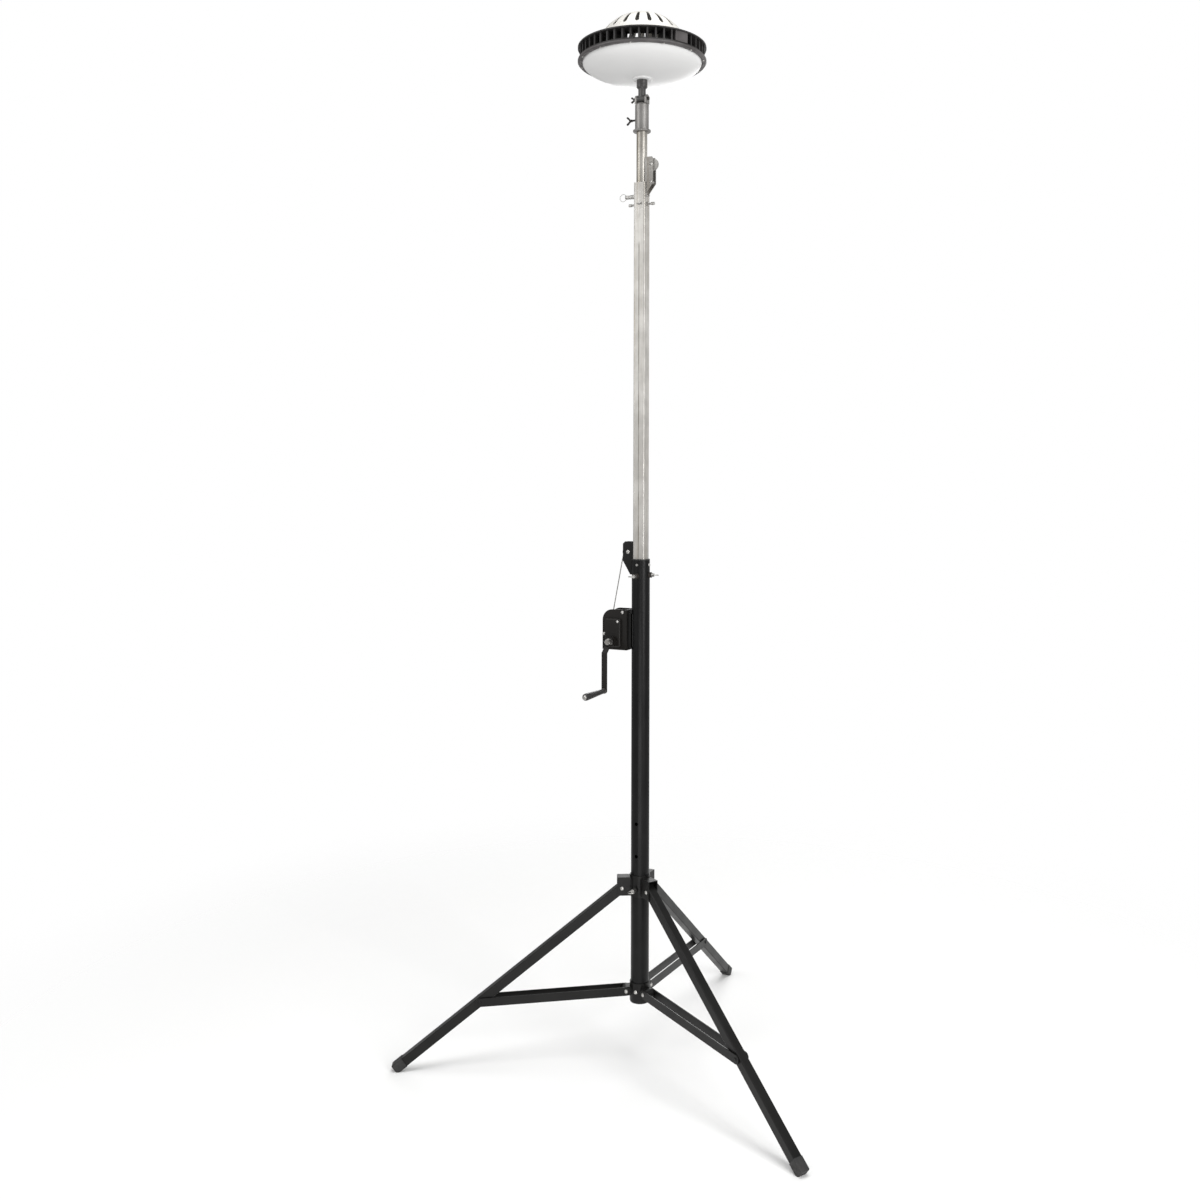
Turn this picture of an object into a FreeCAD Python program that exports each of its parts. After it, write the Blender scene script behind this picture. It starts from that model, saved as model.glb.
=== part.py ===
import FreeCAD, Part
import math
import os
import Sketcher

# Crank lighting stand: a three-legged base tube with a hand winch, a square middle
# section that the winch cable raises, a round upper section and a round lamp head.
# Everything is modelled about the mast axis and then moved so that the origin is the
# middle of the footprint at floor level. +X is away from the winch, +Z is up.

os.makedirs("parts", exist_ok=True)
doc = FreeCAD.newDocument("CrankLightingStand")
sheet = doc.addObject("Spreadsheet::Sheet", "Dims")
X, Y, Z = FreeCAD.Vector(1, 0, 0), FreeCAD.Vector(0, 1, 0), FreeCAD.Vector(0, 0, 1)

DRIVING = {
    # base tube and its collars
    "tube_radius": 30, "tube_wall": 2, "tube_bottom": 204, "tube_top": 1652,
    "index_hole_radius": 6, "index_pitch": 106, "index_first": 575,
    "collar_wall": 3, "slide_gap": 0.3, "run_gap": 0.05,
    "lower_collar_top": 267, "upper_collar_bottom": 549, "upper_collar_top": 618,
    # legs and braces
    "leg_width": 30, "leg_wall": 1.5, "leg_pivot_reach": 60, "leg_pivot_height": 575,
    "leg_angle": 52.3, "leg_to_brace": 585, "leg_head": 18, "foot_width": 33, "foot_depth": 40,
    "foot_clearance": 6, "foot_sole": 13, "brace_pivot_reach": 46, "brace_pivot_height": 239,
    "brace_width": 27, "brace_thickness": 3, "brace_inside": 17, "bolt_radius": 3,
    "bolt_head_radius": 6.5, "bolt_head_height": 4, "clevis_reach": 75, "clevis_wall": 2.5,
    "clevis_top": 612, "lug_radius": 14,
    # base head: cable pulley and bush
    "pulley_reach": 43, "pulley_height": 1677, "cable_radius": 1.75, "cable_bend": 19.25,
    "pulley_rim": 21, "pulley_width": 14, "axle_radius": 4, "plate_thickness": 3,
    "bracket_bottom": 1603, "bracket_knee": 1648, "bracket_top": 1712, "bracket_reach": 61,
    "cable_end": 1450, "bush_depth": 30, "bush_flange": 3, "bush_screw_height": 1636,
    # lock pins
    "pin_radius": 3.5, "front_lock_height": 1600, "side_lock_height": 1603,
    # winch
    "winch_near": 36, "winch_far": 125, "winch_bottom": 1354, "winch_top": 1487,
    "winch_half": 32, "winch_round": 36, "crank_reach": 83, "crank_height": 1384,
    "gear_module": 2, "pinion_teeth": 10, "gear_teeth": 36, "drum_offset": 3,
    "drum_radius": 18.5, "drum_flange": 32, "shaft_radius": 6, "cover_depth": 10,
    "cover_wall": 2, "crank_throw": 156, "arm_width": 18, "arm_thickness": 6,
    "arm_hub": 72, "arm_plane": 97, "grip_length": 130, "grip_radius": 11.5,
    "ratchet_tip": 15, "ratchet_root": 11.5, "ratchet_teeth": 8, "ratchet_plane": 36,
    "gear_plane": 20, "pawl_reach": 64, "pawl_height": 1400, "drum_axle": 5,
    "bush_radius": 9, "cover_width": 56, "cover_height": 94, "grip_axle": 4,
    # middle section
    "middle_width": 41, "middle_wall": 2, "middle_corner": 5, "middle_bottom": 1330,
    "middle_top": 2900, "head_pulley_reach": 39, "head_pulley_height": 2958,
    "head_pulley_rim": 20, "head_plate_reach": 46, "head_plate_top": 2982,
    "head_plate_knee": 2895, "head_plate_bottom": 2862, "middle_pin_height": 2857,
    "guide_screw_height": 2829, "head_plate_offset": 11.5, "head_spacer_reach": 38,
    "head_spacer_height": 2899,
    # upper section and the lamp's sleeve
    "upper_radius": 18, "upper_wall": 2, "upper_bottom": 1650, "upper_top": 3069,
    "spigot_radius": 14, "spigot_length": 81, "sleeve_radius": 23, "sleeve_top": 3164,
    "sleeve_flange": 30, "sleeve_screw_height": 3112, "tilt_height": 3180,
    "stem_radius": 18, "neck_radius": 12.5, "ear_offset": 18, "eye_radius": 13,
    # lamp head
    "lamp_radius": 213.5, "lens_radius": 205.5, "lens_bottom": 3246, "lens_rim": 3300,
    "lens_wall": 2.5, "lens_lip": 7, "bezel_bottom": 3296, "heatsink_base": 3304,
    "heatsink_plate": 6.5, "fin_height": 33, "fin_thickness": 5.5, "fin_count": 48,
    "fin_recess": 5.5, "fin_inner": 160, "rim_inner": 150, "rim_thickness": 4.5,
    "dome_radius": 156, "dome_sphere": 163.7, "dome_top": 3462, "dome_wall": 2,
    "dome_slots": 20, "slot_near": 84, "slot_far": 128, "slot_near_half": 3.5,
    "slot_far_half": 6.8, "bezel_screws": 12, "board_radius": 185, "board_hole": 20,
}


class Size:
    """A number together with the formula, in terms of the sheet, that gives it."""

    def __init__(self, value, formula):
        self.value = float(value)
        self.formula = formula

    def __add__(self, other):
        return combine(self, other, "+")

    def __radd__(self, other):
        return combine(other, self, "+")

    def __sub__(self, other):
        return combine(self, other, "-")

    def __rsub__(self, other):
        return combine(other, self, "-")

    def __mul__(self, other):
        return combine(self, other, "*")

    def __rmul__(self, other):
        return combine(other, self, "*")

    def __truediv__(self, other):
        return combine(self, other, "/")

    def __neg__(self):
        return combine(0, self, "-")

    def __float__(self):
        return self.value


def as_size(number):
    return number if isinstance(number, Size) else Size(number, repr(float(number)))


def combine(first, second, sign):
    a, b = as_size(first), as_size(second)
    results = {"+": a.value + b.value, "-": a.value - b.value, "*": a.value * b.value}
    value = a.value / b.value if sign == "/" else results[sign]
    return Size(value, f"({a.formula} {sign} {b.formula})")


class Dimensions:
    """The driving dimensions, each read by its alias."""

    def __init__(self, values):
        for row, (alias, number) in enumerate(values.items(), start=1):
            sheet.set(f"A{row}", alias.replace("_", " "))
            sheet.set(f"B{row}", str(number))
            sheet.setAlias(f"B{row}", alias)
            setattr(self, alias, Size(number, f"Dims.{alias}"))


dim = Dimensions(DRIVING)
doc.recompute()


# ---------------------------------------------------------------- drawing helpers

def vector(x, y, z):
    return FreeCAD.Vector(float(x), float(y), float(z))


def bind(thing, **sizes):
    """Set properties of a document object and bind each to its formula."""
    for name, size in sizes.items():
        setattr(thing, name, float(size))
        if isinstance(size, Size):
            thing.setExpression(name, size.formula)
    return thing


def turned(at, axis=Z):
    return FreeCAD.Placement(vector(*at), FreeCAD.Rotation(Z, axis))


def rod(radius, length, at, axis=Z):
    """A cylinder that starts at a point and runs along an axis."""
    made = bind(doc.addObject("Part::Cylinder", "Rod"), Radius=radius, Height=length)
    made.Placement = turned(at, axis)
    return made


def cone(radius, end_radius, length, at, axis=Z):
    made = doc.addObject("Part::Cone", "Cone")
    bind(made, Radius1=radius, Radius2=end_radius, Height=length)
    made.Placement = turned(at, axis)
    return made


def block(length, width, height, at):
    """A box centred on a point in X and Y that stands on it in Z."""
    made = doc.addObject("Part::Box", "Block")
    bind(made, Length=length, Width=width, Height=height)
    x, y, z = (float(v) for v in at)
    made.Placement.Base = vector(x - float(length) / 2, y - float(width) / 2, z)
    return made


def torus(major, minor, at, axis=Z, sweep=360):
    made = bind(doc.addObject("Part::Torus", "Torus"), Radius1=major, Radius2=minor)
    made.Angle3 = sweep
    made.Placement = turned(at, axis)
    return made


def ball(radius, at):
    made = bind(doc.addObject("Part::Sphere", "Ball"), Radius=radius)
    made.Placement.Base = vector(*at)
    return made


def hexagon(radius, height, at, axis=Z):
    made = doc.addObject("Part::Prism", "Hexagon")
    made.Polygon = 6
    bind(made, Circumradius=radius, Height=height)
    made.Placement = turned(at, axis)
    return made


def fuse(*shapes):
    made = doc.addObject("Part::MultiFuse", "Fusion")
    made.Shapes = list(shapes)
    made.Refine = True
    return made


def cut(base, *tools):
    made = doc.addObject("Part::Cut", "Cut")
    made.Base = base
    made.Tool = tools[0] if len(tools) == 1 else group(*tools)
    return made


def common(first, second):
    made = doc.addObject("Part::MultiCommon", "Common")
    made.Shapes = [first, second]
    return made


def group(*shapes):
    """Separate solids kept in one object."""
    made = doc.addObject("Part::Compound", "Group")
    made.Links = list(shapes)
    return made


def rounded(base, radius, wanted):
    """Fillet the edges of an object that a test picks out."""
    doc.recompute()
    made = doc.addObject("Part::Fillet", "Rounded")
    made.Base = base
    picked = [i for i, edge in enumerate(base.Shape.Edges, start=1) if wanted(edge)]
    made.Edges = [(i, float(radius), float(radius)) for i in picked]
    return made


def runs_along(edge, axis):
    return abs(abs(edge.tangentAt(edge.FirstParameter).dot(axis)) - 1) < 1e-6


def middle_of(edge):
    return edge.BoundBox.Center


def sketch_on(body, role, name="Outline"):
    """A sketch on one of a body's own origin planes."""
    plane = [f for f in body.Origin.OriginFeatures if f.Role == role][0]
    sketch = body.newObject("Sketcher::SketchObject", name)
    sketch.AttachmentSupport = [(plane, "")]
    sketch.MapMode = "FlatFace"
    return sketch


def fix_point(sketch, index, position, x, y):
    """Tie a sketch point's distances from the sketch origin to their formulas."""
    for kind, size in (("DistanceX", as_size(x)), ("DistanceY", as_size(y))):
        tie = Sketcher.Constraint(kind, -1, 1, index, position, size.value)
        sketch.setExpression(f"Constraints[{sketch.addConstraint(tie)}]", size.formula)


def draw_polygon(sketch, corners):
    points = [vector(x, y, 0) for x, y in corners]
    edges = []
    for start, end in zip(points, points[1:] + points[:1]):
        edges.append(sketch.addGeometry(Part.LineSegment(start, end), False))
    for here, after in zip(edges, edges[1:] + edges[:1]):
        sketch.addConstraint(Sketcher.Constraint("Coincident", here, 2, after, 1))
    for index, (x, y) in zip(edges, corners):
        fix_point(sketch, index, 1, x, y)


def draw_circle(sketch, radius):
    circle = Part.Circle(FreeCAD.Vector(), Z, float(radius))
    index = sketch.addGeometry(circle, False)
    fix_point(sketch, index, 3, 0, 0)
    tie = sketch.addConstraint(Sketcher.Constraint("Radius", index, float(radius)))
    sketch.setExpression(f"Constraints[{tie}]", as_size(radius).formula)


def new_body():
    return doc.addObject("PartDesign::Body", "Body")


def add_pad(body, role, draw, length, both_ways=True, lift=None):
    """Pad a sketch; draw is a function that fills the sketch."""
    sketch = sketch_on(body, role)
    draw(sketch)
    if lift is not None:
        sketch.AttachmentOffset = FreeCAD.Placement(vector(0, 0, lift), FreeCAD.Rotation())
        sketch.setExpression("AttachmentOffset.Base.z", as_size(lift).formula)
    pad = body.newObject("PartDesign::Pad", "Pad")
    pad.Profile = sketch
    pad.Midplane = both_ways
    bind(pad, Length=length)
    body.Tip = pad
    return pad


def plate_body(role, corners, thickness):
    """A flat plate of polygonal outline, padded equally both ways."""
    body = new_body()
    add_pad(body, role, lambda sketch: draw_polygon(sketch, corners), thickness)
    return body


def turned_body(corners, role="XZ_Plane"):
    """A solid of revolution about the vertical axis of its sketch."""
    body = new_body()
    sketch = sketch_on(body, role)
    draw_polygon(sketch, corners)
    turn = body.newObject("PartDesign::Revolution", "Turn")
    turn.Profile = sketch
    turn.ReferenceAxis = (sketch, ["V_Axis"])
    turn.Angle = 360
    body.Tip = turn
    return body


def add_pattern(body, feature, count):
    """Repeat a feature around the body's vertical axis."""
    pattern = body.newObject("PartDesign::PolarPattern", "Pattern")
    pattern.Originals = [feature]
    axis = [f for f in body.Origin.OriginFeatures if f.Role == "Z_Axis"][0]
    pattern.Axis = (axis, [""])
    pattern.Angle = 360
    pattern.Occurrences = int(float(count))
    if isinstance(count, Size):
        pattern.setExpression("Occurrences", count.formula)
    body.Tip = pattern
    return pattern


def annulus(outer, inner, bottom, top):
    """A round tube between two heights."""
    return turned_body([(inner, bottom), (outer, bottom), (outer, top), (inner, top)])


def moved(thing, at):
    """Set the place of a body that was drawn about its own origin."""
    thing.Placement.Base = vector(*at)
    return thing


def dome(radius, height, start, axis):
    """A round head: the cap of a ball, whose flat face stands on the start point."""
    ball_radius = (radius * radius + height * height) / (height * 2)
    sunk = float(ball_radius - height)
    made = bind(doc.addObject("Part::Sphere", "Dome"), Radius=ball_radius)
    made.Angle1 = math.degrees(math.asin(sunk / float(ball_radius)))
    made.Placement = turned(vector(*start) - axis * sunk, axis)
    return made


def bolt(radius, head_radius, head_height, start, length, axis):
    """A round-headed bolt along an axis, with a domed cap nut on its far end."""
    start = vector(*start)
    end = start + axis * float(length)
    return fuse(dome(head_radius, head_height, start, -axis), rod(radius, length, start, axis),
                dome(head_radius, head_height, end, axis))


# ---------------------------------------------------------------- where things are

foot_reach = float(dim.leg_pivot_reach) + float(dim.leg_pivot_height) * math.tan(
    math.radians(float(dim.leg_angle)))
MAST = FreeCAD.Placement(FreeCAD.Vector(0, -foot_reach / 4, 0), FreeCAD.Rotation())
LEG_DIRECTIONS = {1: 90, 2: 210, 3: 330}
RING_GAP = 0.3
TIE_BOLTS = ((-53, 1478), (-120, 1405))
COVER_SCREWS = ((-66, 1448), (-106, 1374))
BOX_DIRECTION = -27.4
SUBPARTS = {}


def add_subpart(name, thing, placement=None):
    """Name a finished sub-part and give it its place in the whole."""
    thing.Label = name
    extra = placement or FreeCAD.Placement()
    thing.Placement = MAST.multiply(extra).multiply(thing.Placement)
    SUBPARTS[name] = thing


def towards(degrees):
    """The placement that turns radial +X to a leg's direction about the mast."""
    return FreeCAD.Placement(FreeCAD.Vector(), FreeCAD.Rotation(Z, degrees))


# ---------------------------------------------------------------- base tube

def base_tube():
    outer = dim.tube_radius
    shell = annulus(outer, outer - dim.tube_wall, dim.tube_bottom, dim.tube_top)
    front = [dim.index_first + dim.index_pitch * step for step in range(3)]
    holes = [rod(dim.index_hole_radius, outer, (0, 0, z), -Y) for z in front]
    holes.append(rod(dim.bolt_radius, outer + 5, (0, 0, dim.brace_pivot_height), -Y))
    for direction, height in ((-Y, dim.front_lock_height), (X, dim.side_lock_height)):
        holes.append(rod(dim.pin_radius + 0.3, outer + 5, (0, 0, height), direction))
    return cut(shell, *holes)


def lower_collar():
    inner, outer = dim.tube_radius, dim.tube_radius + dim.collar_wall
    floor, foot, top = dim.tube_bottom, dim.tube_bottom - 4, dim.lower_collar_top
    cup = turned_body([
        (0, foot), (outer - 5, foot), (outer - 1.5, foot + 1.5), (outer, foot + 5),
        (outer, top), (inner, top), (inner, floor), (0, floor)])
    lug_width = dim.brace_inside * 2 - 0.6
    reach, height = dim.brace_pivot_reach, dim.brace_pivot_height
    lugs = []
    for degrees in LEG_DIRECTIONS.values():
        start = inner + 1
        body = block(reach - start, lug_width, dim.lug_radius * 2,
                     ((reach + start) / 2, 0, height - dim.lug_radius))
        eye = rod(dim.lug_radius, lug_width, (reach, -lug_width / 2, height), Y)
        hole = rod(dim.bolt_radius, lug_width * 2, (reach, -lug_width, height), Y)
        lug = cut(fuse(body, eye), hole)
        lug.Placement = towards(degrees)
        lugs.append(lug)
    screw = rod(dim.bolt_radius, outer + 5, (0, 0, height), -Y)
    return cut(fuse(cup, *lugs), screw)


def collar_screw():
    """The screw that holds the lower collar to the tube."""
    face = dim.tube_radius + dim.collar_wall
    start = (0, -face, dim.brace_pivot_height)
    return fuse(dome(dim.bolt_head_radius, dim.bolt_head_height, start, -Y),
                rod(dim.bolt_radius, dim.tube_wall + dim.collar_wall + 1, start, Y))


def pivot_bolts(reach, height, half_grip, *others):
    """One through bolt for each leg direction, with its nut, and any other screws."""
    bolts = list(others)
    for degrees in LEG_DIRECTIONS.values():
        made = bolt(dim.bolt_radius, dim.bolt_head_radius, dim.bolt_head_height,
                    (reach, -half_grip, height), half_grip * 2, Y)
        made.Placement = towards(degrees)
        bolts.append(made)
    return group(*bolts)


def middle_opening(gap, bottom, height):
    """The square column that the middle section leaves, with a gap all round."""
    width = dim.middle_width + gap * 2
    column = block(width, width, height, (0, 0, bottom))
    return rounded(column, dim.middle_corner + gap, lambda edge: runs_along(edge, Z))


def base_top_bush():
    inner = dim.tube_radius - dim.tube_wall
    bottom = dim.tube_top - dim.bush_depth
    ring = turned_body([
        (0, bottom), (inner, bottom), (inner, dim.tube_top), (dim.tube_radius, dim.tube_top),
        (dim.tube_radius, dim.tube_top + dim.bush_flange), (0, dim.tube_top + dim.bush_flange)])
    opening = middle_opening(dim.slide_gap, bottom - 1, dim.bush_depth + dim.bush_flange + 2)
    slot = block(20, 8, dim.bush_depth + dim.bush_flange + 2, (-30, 0, bottom - 1))
    return cut(ring, opening, slot)


def base_pulley_bracket():
    inner = 24
    shelf = dim.tube_top + dim.bush_flange
    outline = [
        (-20, dim.bracket_bottom), (-20, shelf), (-inner, shelf), (-inner, dim.bracket_top),
        (8 - dim.bracket_reach, dim.bracket_top), (-dim.bracket_reach, dim.bracket_top - 8),
        (-dim.bracket_reach, dim.bracket_knee), (-34, dim.bracket_bottom)]
    plates = []
    for side in (-1, 1):
        plate = plate_body("XZ_Plane", outline, dim.plate_thickness)
        offset = side * (dim.pulley_width / 2 + 1 + dim.plate_thickness / 2)
        moved(plate, (0, offset, 0))
        tube = rod(dim.tube_radius, shelf, (0, 0, 0))
        axle = rod(dim.axle_radius, 40, (-dim.pulley_reach, -20, dim.pulley_height), Y)
        plates.append(cut(plate, tube, axle))
    return group(*plates)


def grooved_pulley(rim, root, width, bore):
    """A pulley about Z with a rounded cable groove."""
    half = width / 2
    wheel = annulus(rim, bore, -half, half)
    groove = torus(root + dim.cable_radius, dim.cable_radius + 0.25, (0, 0, 0))
    mouth = turned_body([
        (root + dim.cable_radius, -2), (rim + 1, -half + 1.5), (rim + 1, half - 1.5),
        (root + dim.cable_radius, 2)])
    return cut(wheel, groove, mouth)


def base_pulley():
    root = dim.cable_bend - dim.cable_radius
    wheel = grooved_pulley(dim.pulley_rim, root, dim.pulley_width, dim.axle_radius + dim.run_gap)
    wheel.Placement = turned((-dim.pulley_reach, 0, dim.pulley_height), Y)
    return wheel


def base_head_bolts():
    """The pulley's axle bolt and the small screws that hold the bush."""
    half = dim.pulley_width / 2 + 1 + dim.plate_thickness
    axle = bolt(dim.axle_radius, 7, 4, (-dim.pulley_reach, -half, dim.pulley_height), half * 2, Y)
    screws = [axle]
    height = dim.bush_screw_height
    for direction in (-Y, Y, X):
        start = direction * float(dim.tube_radius - 1) + vector(0, 0, height)
        head = cone(5, 3.5, 4, start, direction)
        screws.append(cut(head, rod(dim.tube_radius, 40, (0, 0, height - 20))))
    return group(*screws)


def drum_place():
    """The drum axis in X and Z, at the gears' centre distance from the crank."""
    distance = float(dim.gear_module) * (float(dim.pinion_teeth) + float(dim.gear_teeth)) / 2
    x = -float(dim.crank_reach) - float(dim.drum_offset)
    z = float(dim.crank_height) + math.sqrt(distance**2 - float(dim.drum_offset)**2)
    return x, z


def coil_radius():
    """Outer radius of the one layer of cable on the drum."""
    return dim.drum_radius + dim.cable_radius * 2


def lift_cable():
    """Taut cable: down inside the tube, over the pulley, then straight to the drum."""
    px, pz = -float(dim.pulley_reach), float(dim.pulley_height)
    qx, qz = drum_place()
    bend = float(dim.cable_bend)
    drum_bend = float(coil_radius() + dim.cable_radius) + 0.3
    length = math.hypot(qx - px, qz - pz)
    along = FreeCAD.Vector((qx - px) / length, 0, (qz - pz) / length)
    left = FreeCAD.Vector(along.z, 0, -along.x)
    lean = (bend - drum_bend) / length
    normal = along * lean + left * math.sqrt(1 - lean**2)
    start = vector(px, 0, pz) + normal * bend
    end = vector(qx, 0, qz) + normal * drum_bend
    run = end - start
    inner = rod(dim.cable_radius, dim.pulley_height - dim.cable_end,
                (px + bend, 0, dim.cable_end))
    outer = rod(dim.cable_radius, run.Length, start, run.normalize())
    sweep = math.degrees(math.atan2(normal.z, normal.x))
    arc = torus(dim.cable_bend, dim.cable_radius, (px, 0, pz), -Y, sweep)
    arc.Placement = FreeCAD.Placement(vector(px, 0, pz), FreeCAD.Rotation(X, 90))
    return fuse(inner, arc, outer)


def lock_housings():
    """The threaded barrels that carry the two lock pins of the base tube."""
    pieces = []
    for direction, z, length in ((-Y, dim.front_lock_height, 12), (X, dim.side_lock_height, 10)):
        start = direction * float(dim.tube_radius) + vector(0, 0, z)
        barrel = hexagon(9, length, start, direction)
        bore = rod(dim.pin_radius + 0.1, length + 8, start - direction * 4, direction)
        tube = rod(dim.tube_radius, 60, (0, 0, z - 30))
        pieces.append(cut(barrel, bore, tube))
    return group(*pieces)


def pull_pin(nose, barrel, knob, ring, direction, z, normal=Z):
    """A plunger: a shank from nose through its barrel, a knob, and a ring through the knob.

    nose and barrel are distances from the mast; knob and ring are (radius, length) and
    (radius, wire radius).
    """
    centre = vector(0, 0, z)
    start = centre + direction * float(nose)
    face = float(barrel) + RING_GAP
    knob_start = centre + direction * face
    solid = fuse(rod(dim.pin_radius, face - float(nose), start, direction),
                 rod(knob[0], knob[1], knob_start, direction))
    radius, wire = ring
    ring_centre = centre + direction * (face + knob[1] + radius - wire - 1.5)
    tunnel = torus(radius, wire + RING_GAP, ring_centre, normal)
    return group(cut(solid, tunnel), torus(radius, wire, ring_centre, normal))


# ---------------------------------------------------------------- winch

def winch_bracket():
    bottom, height = dim.winch_bottom + 10, dim.winch_top - dim.winch_bottom - 20
    saddle = block(12, 50, height, (-dim.tube_radius, 0, bottom))
    tube = rod(dim.tube_radius, height + 20, (0, 0, bottom - 10))
    return cut(saddle, tube)


def winch_frame():
    near, far, half = dim.winch_near, dim.winch_far, dim.winch_half
    height = dim.winch_top - dim.winch_bottom
    middle_x = -(near + far) / 2
    solid = block(far - near, half * 2, height, (middle_x, 0, dim.winch_bottom))
    corner = rounded(solid, dim.winch_round, lambda edge: (
        runs_along(edge, Y) and middle_of(edge).x < float(middle_x)
        and middle_of(edge).z > float(dim.crank_height)))
    hollow = block(far - near, half * 2 - 6, height + 10,
                   (middle_x - dim.plate_thickness, 0, dim.winch_bottom - 5))
    shaft = rod(dim.bush_radius, half * 2 + 10, (-dim.crank_reach, -half - 5, dim.crank_height),
                Y)
    drum_x, drum_z = drum_place()
    axle = rod(dim.drum_axle, half * 2 + 10, (drum_x, -half - 5, drum_z), Y)
    return cut(corner, hollow, shaft, axle, *tie_rods(5))


def tie_rods(extra):
    """The two spacer bolts' shanks through both cheeks."""
    reach = dim.winch_half + extra
    return [rod(dim.bolt_radius, reach * 2, (x, -reach, z), Y) for x, z in TIE_BOLTS]


def winch_gear_cover():
    width, height = dim.cover_width, dim.cover_height
    centre, bottom = -dim.crank_reach - 1, dim.winch_bottom + 10
    back = dim.winch_half
    outer = block(width, dim.cover_depth, height, (centre, -back - dim.cover_depth / 2, bottom))
    front = -float(dim.winch_half + dim.cover_depth)
    shell = rounded(outer, 5, lambda edge: runs_along(edge, Y) or (
        abs(middle_of(edge).y - front) < 0.01))
    inside = block(width - dim.cover_wall * 2, dim.cover_depth, height - dim.cover_wall * 2,
                   (centre, -back - dim.cover_depth / 2 + dim.cover_wall, bottom + dim.cover_wall))
    boss = annulus(15.5, dim.bush_radius, 0, 12)
    boss.Placement = turned((-dim.crank_reach, front, dim.crank_height), -Y)
    hole = rod(dim.bush_radius, 20, (-dim.crank_reach, front - 5, dim.crank_height), Y)
    return fuse(cut(shell, inside, hole), boss)


def winch_bolts():
    """Spacer bolts, the drum's axle bolt, cover screws and the pawl's pin."""
    grip = dim.winch_half
    pieces = []
    for x, z in TIE_BOLTS:
        pieces.append(bolt(dim.bolt_radius, 5.5, 3, (x, -grip, z), grip * 2, Y))
    drum_x, drum_z = drum_place()
    pieces.append(bolt(dim.drum_axle, 7.5, 3.5, (drum_x, -grip, drum_z), grip * 2, Y))
    front = grip + dim.cover_depth
    for x, z in COVER_SCREWS:
        pieces.append(dome(4.5, 3, (x, -front, z), -Y))
    pieces.append(rod(2, 7.5, (-dim.pawl_reach, -grip - 7.5, dim.pawl_height), Y))
    return group(*pieces)


def winch_shaft_bushes():
    bushes = []
    for start in (-dim.winch_half - 0.5, dim.winch_half - 3.5):
        bush = annulus(dim.bush_radius, dim.shaft_radius + dim.run_gap, 0, 4)
        bush.Placement = turned((-dim.crank_reach, start, dim.crank_height), Y)
        bushes.append(bush)
    return group(*bushes)


def spur_wheel(teeth, width, bore):
    """A spur gear about Z; the teeth are slim so that the pair runs free."""
    pitch = dim.gear_module * teeth / 2
    root, tip = pitch - dim.gear_module * 1.2, pitch + dim.gear_module * 0.8
    foot, crest = dim.gear_module * 0.72, dim.gear_module * 0.3
    body = new_body()

    def disc(sketch):
        draw_circle(sketch, root)
        draw_circle(sketch, bore)

    def tooth(sketch):
        draw_polygon(sketch, [(root - 1, -foot), (pitch, -foot * 0.8), (tip, -crest),
                              (tip, crest), (pitch, foot * 0.8), (root - 1, foot)])

    add_pad(body, "XY_Plane", disc, width)
    add_pattern(body, add_pad(body, "XY_Plane", tooth, width), teeth)
    return body


def drum_gear():
    wheel = spur_wheel(dim.gear_teeth, 8, dim.drum_axle + dim.run_gap)
    x, z = drum_place()
    step = 360 / float(dim.gear_teeth)
    towards_pinion = math.degrees(math.atan2(-(float(dim.crank_height) - z),
                                             -float(dim.crank_reach) - x))
    # half a tooth of turn puts a gap of the gear opposite a tooth of the pinion
    turn = FreeCAD.Rotation(Z, towards_pinion + step / 2)
    lay = FreeCAD.Rotation(X, -90)
    wheel.Placement = FreeCAD.Placement(vector(x, -dim.gear_plane, z), lay.multiply(turn))
    return wheel


def winch_drum():
    bore, flange, barrel = dim.drum_axle + dim.run_gap, dim.drum_flange, dim.drum_radius
    drum = turned_body([
        (bore, -15.9), (flange, -15.9), (flange, -13), (barrel, -13), (barrel, 23),
        (flange, 23), (flange, 26), (bore, 26)])
    x, z = drum_place()
    drum.Placement = turned((x, 0, z), Y)
    return drum


def cable_turns():
    """One layer of wound cable, each turn a ring against the next."""
    x, z = drum_place()
    spacing = 3.6
    turns = []
    for step in range(-3, 6):
        turns.append(torus(dim.drum_radius + dim.cable_radius, dim.cable_radius,
                           (x, step * spacing, z), Y))
    return group(*turns)


def crank_shaft():
    """The crank shaft with its pinion."""
    x, z = -dim.crank_reach, dim.crank_height
    wheel = spur_wheel(dim.pinion_teeth, 10, dim.shaft_radius - 1)
    down = float(drum_place()[1]) - float(z)
    across = float(drum_place()[0]) - float(x)
    turn = FreeCAD.Rotation(Z, math.degrees(math.atan2(-down, across)))
    lay = FreeCAD.Rotation(X, -90)
    wheel.Placement = FreeCAD.Placement(vector(x, -dim.gear_plane, z), lay.multiply(turn))
    tip = dim.arm_hub + dim.arm_thickness + 8
    thick = rod(dim.shaft_radius, dim.arm_hub + dim.winch_half + 4, (x, -dim.arm_hub, z), Y)
    thin = rod(dim.shaft_radius - 1, tip - dim.arm_hub, (x, -tip, z), Y)
    return fuse(thick, thin, wheel)


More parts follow.
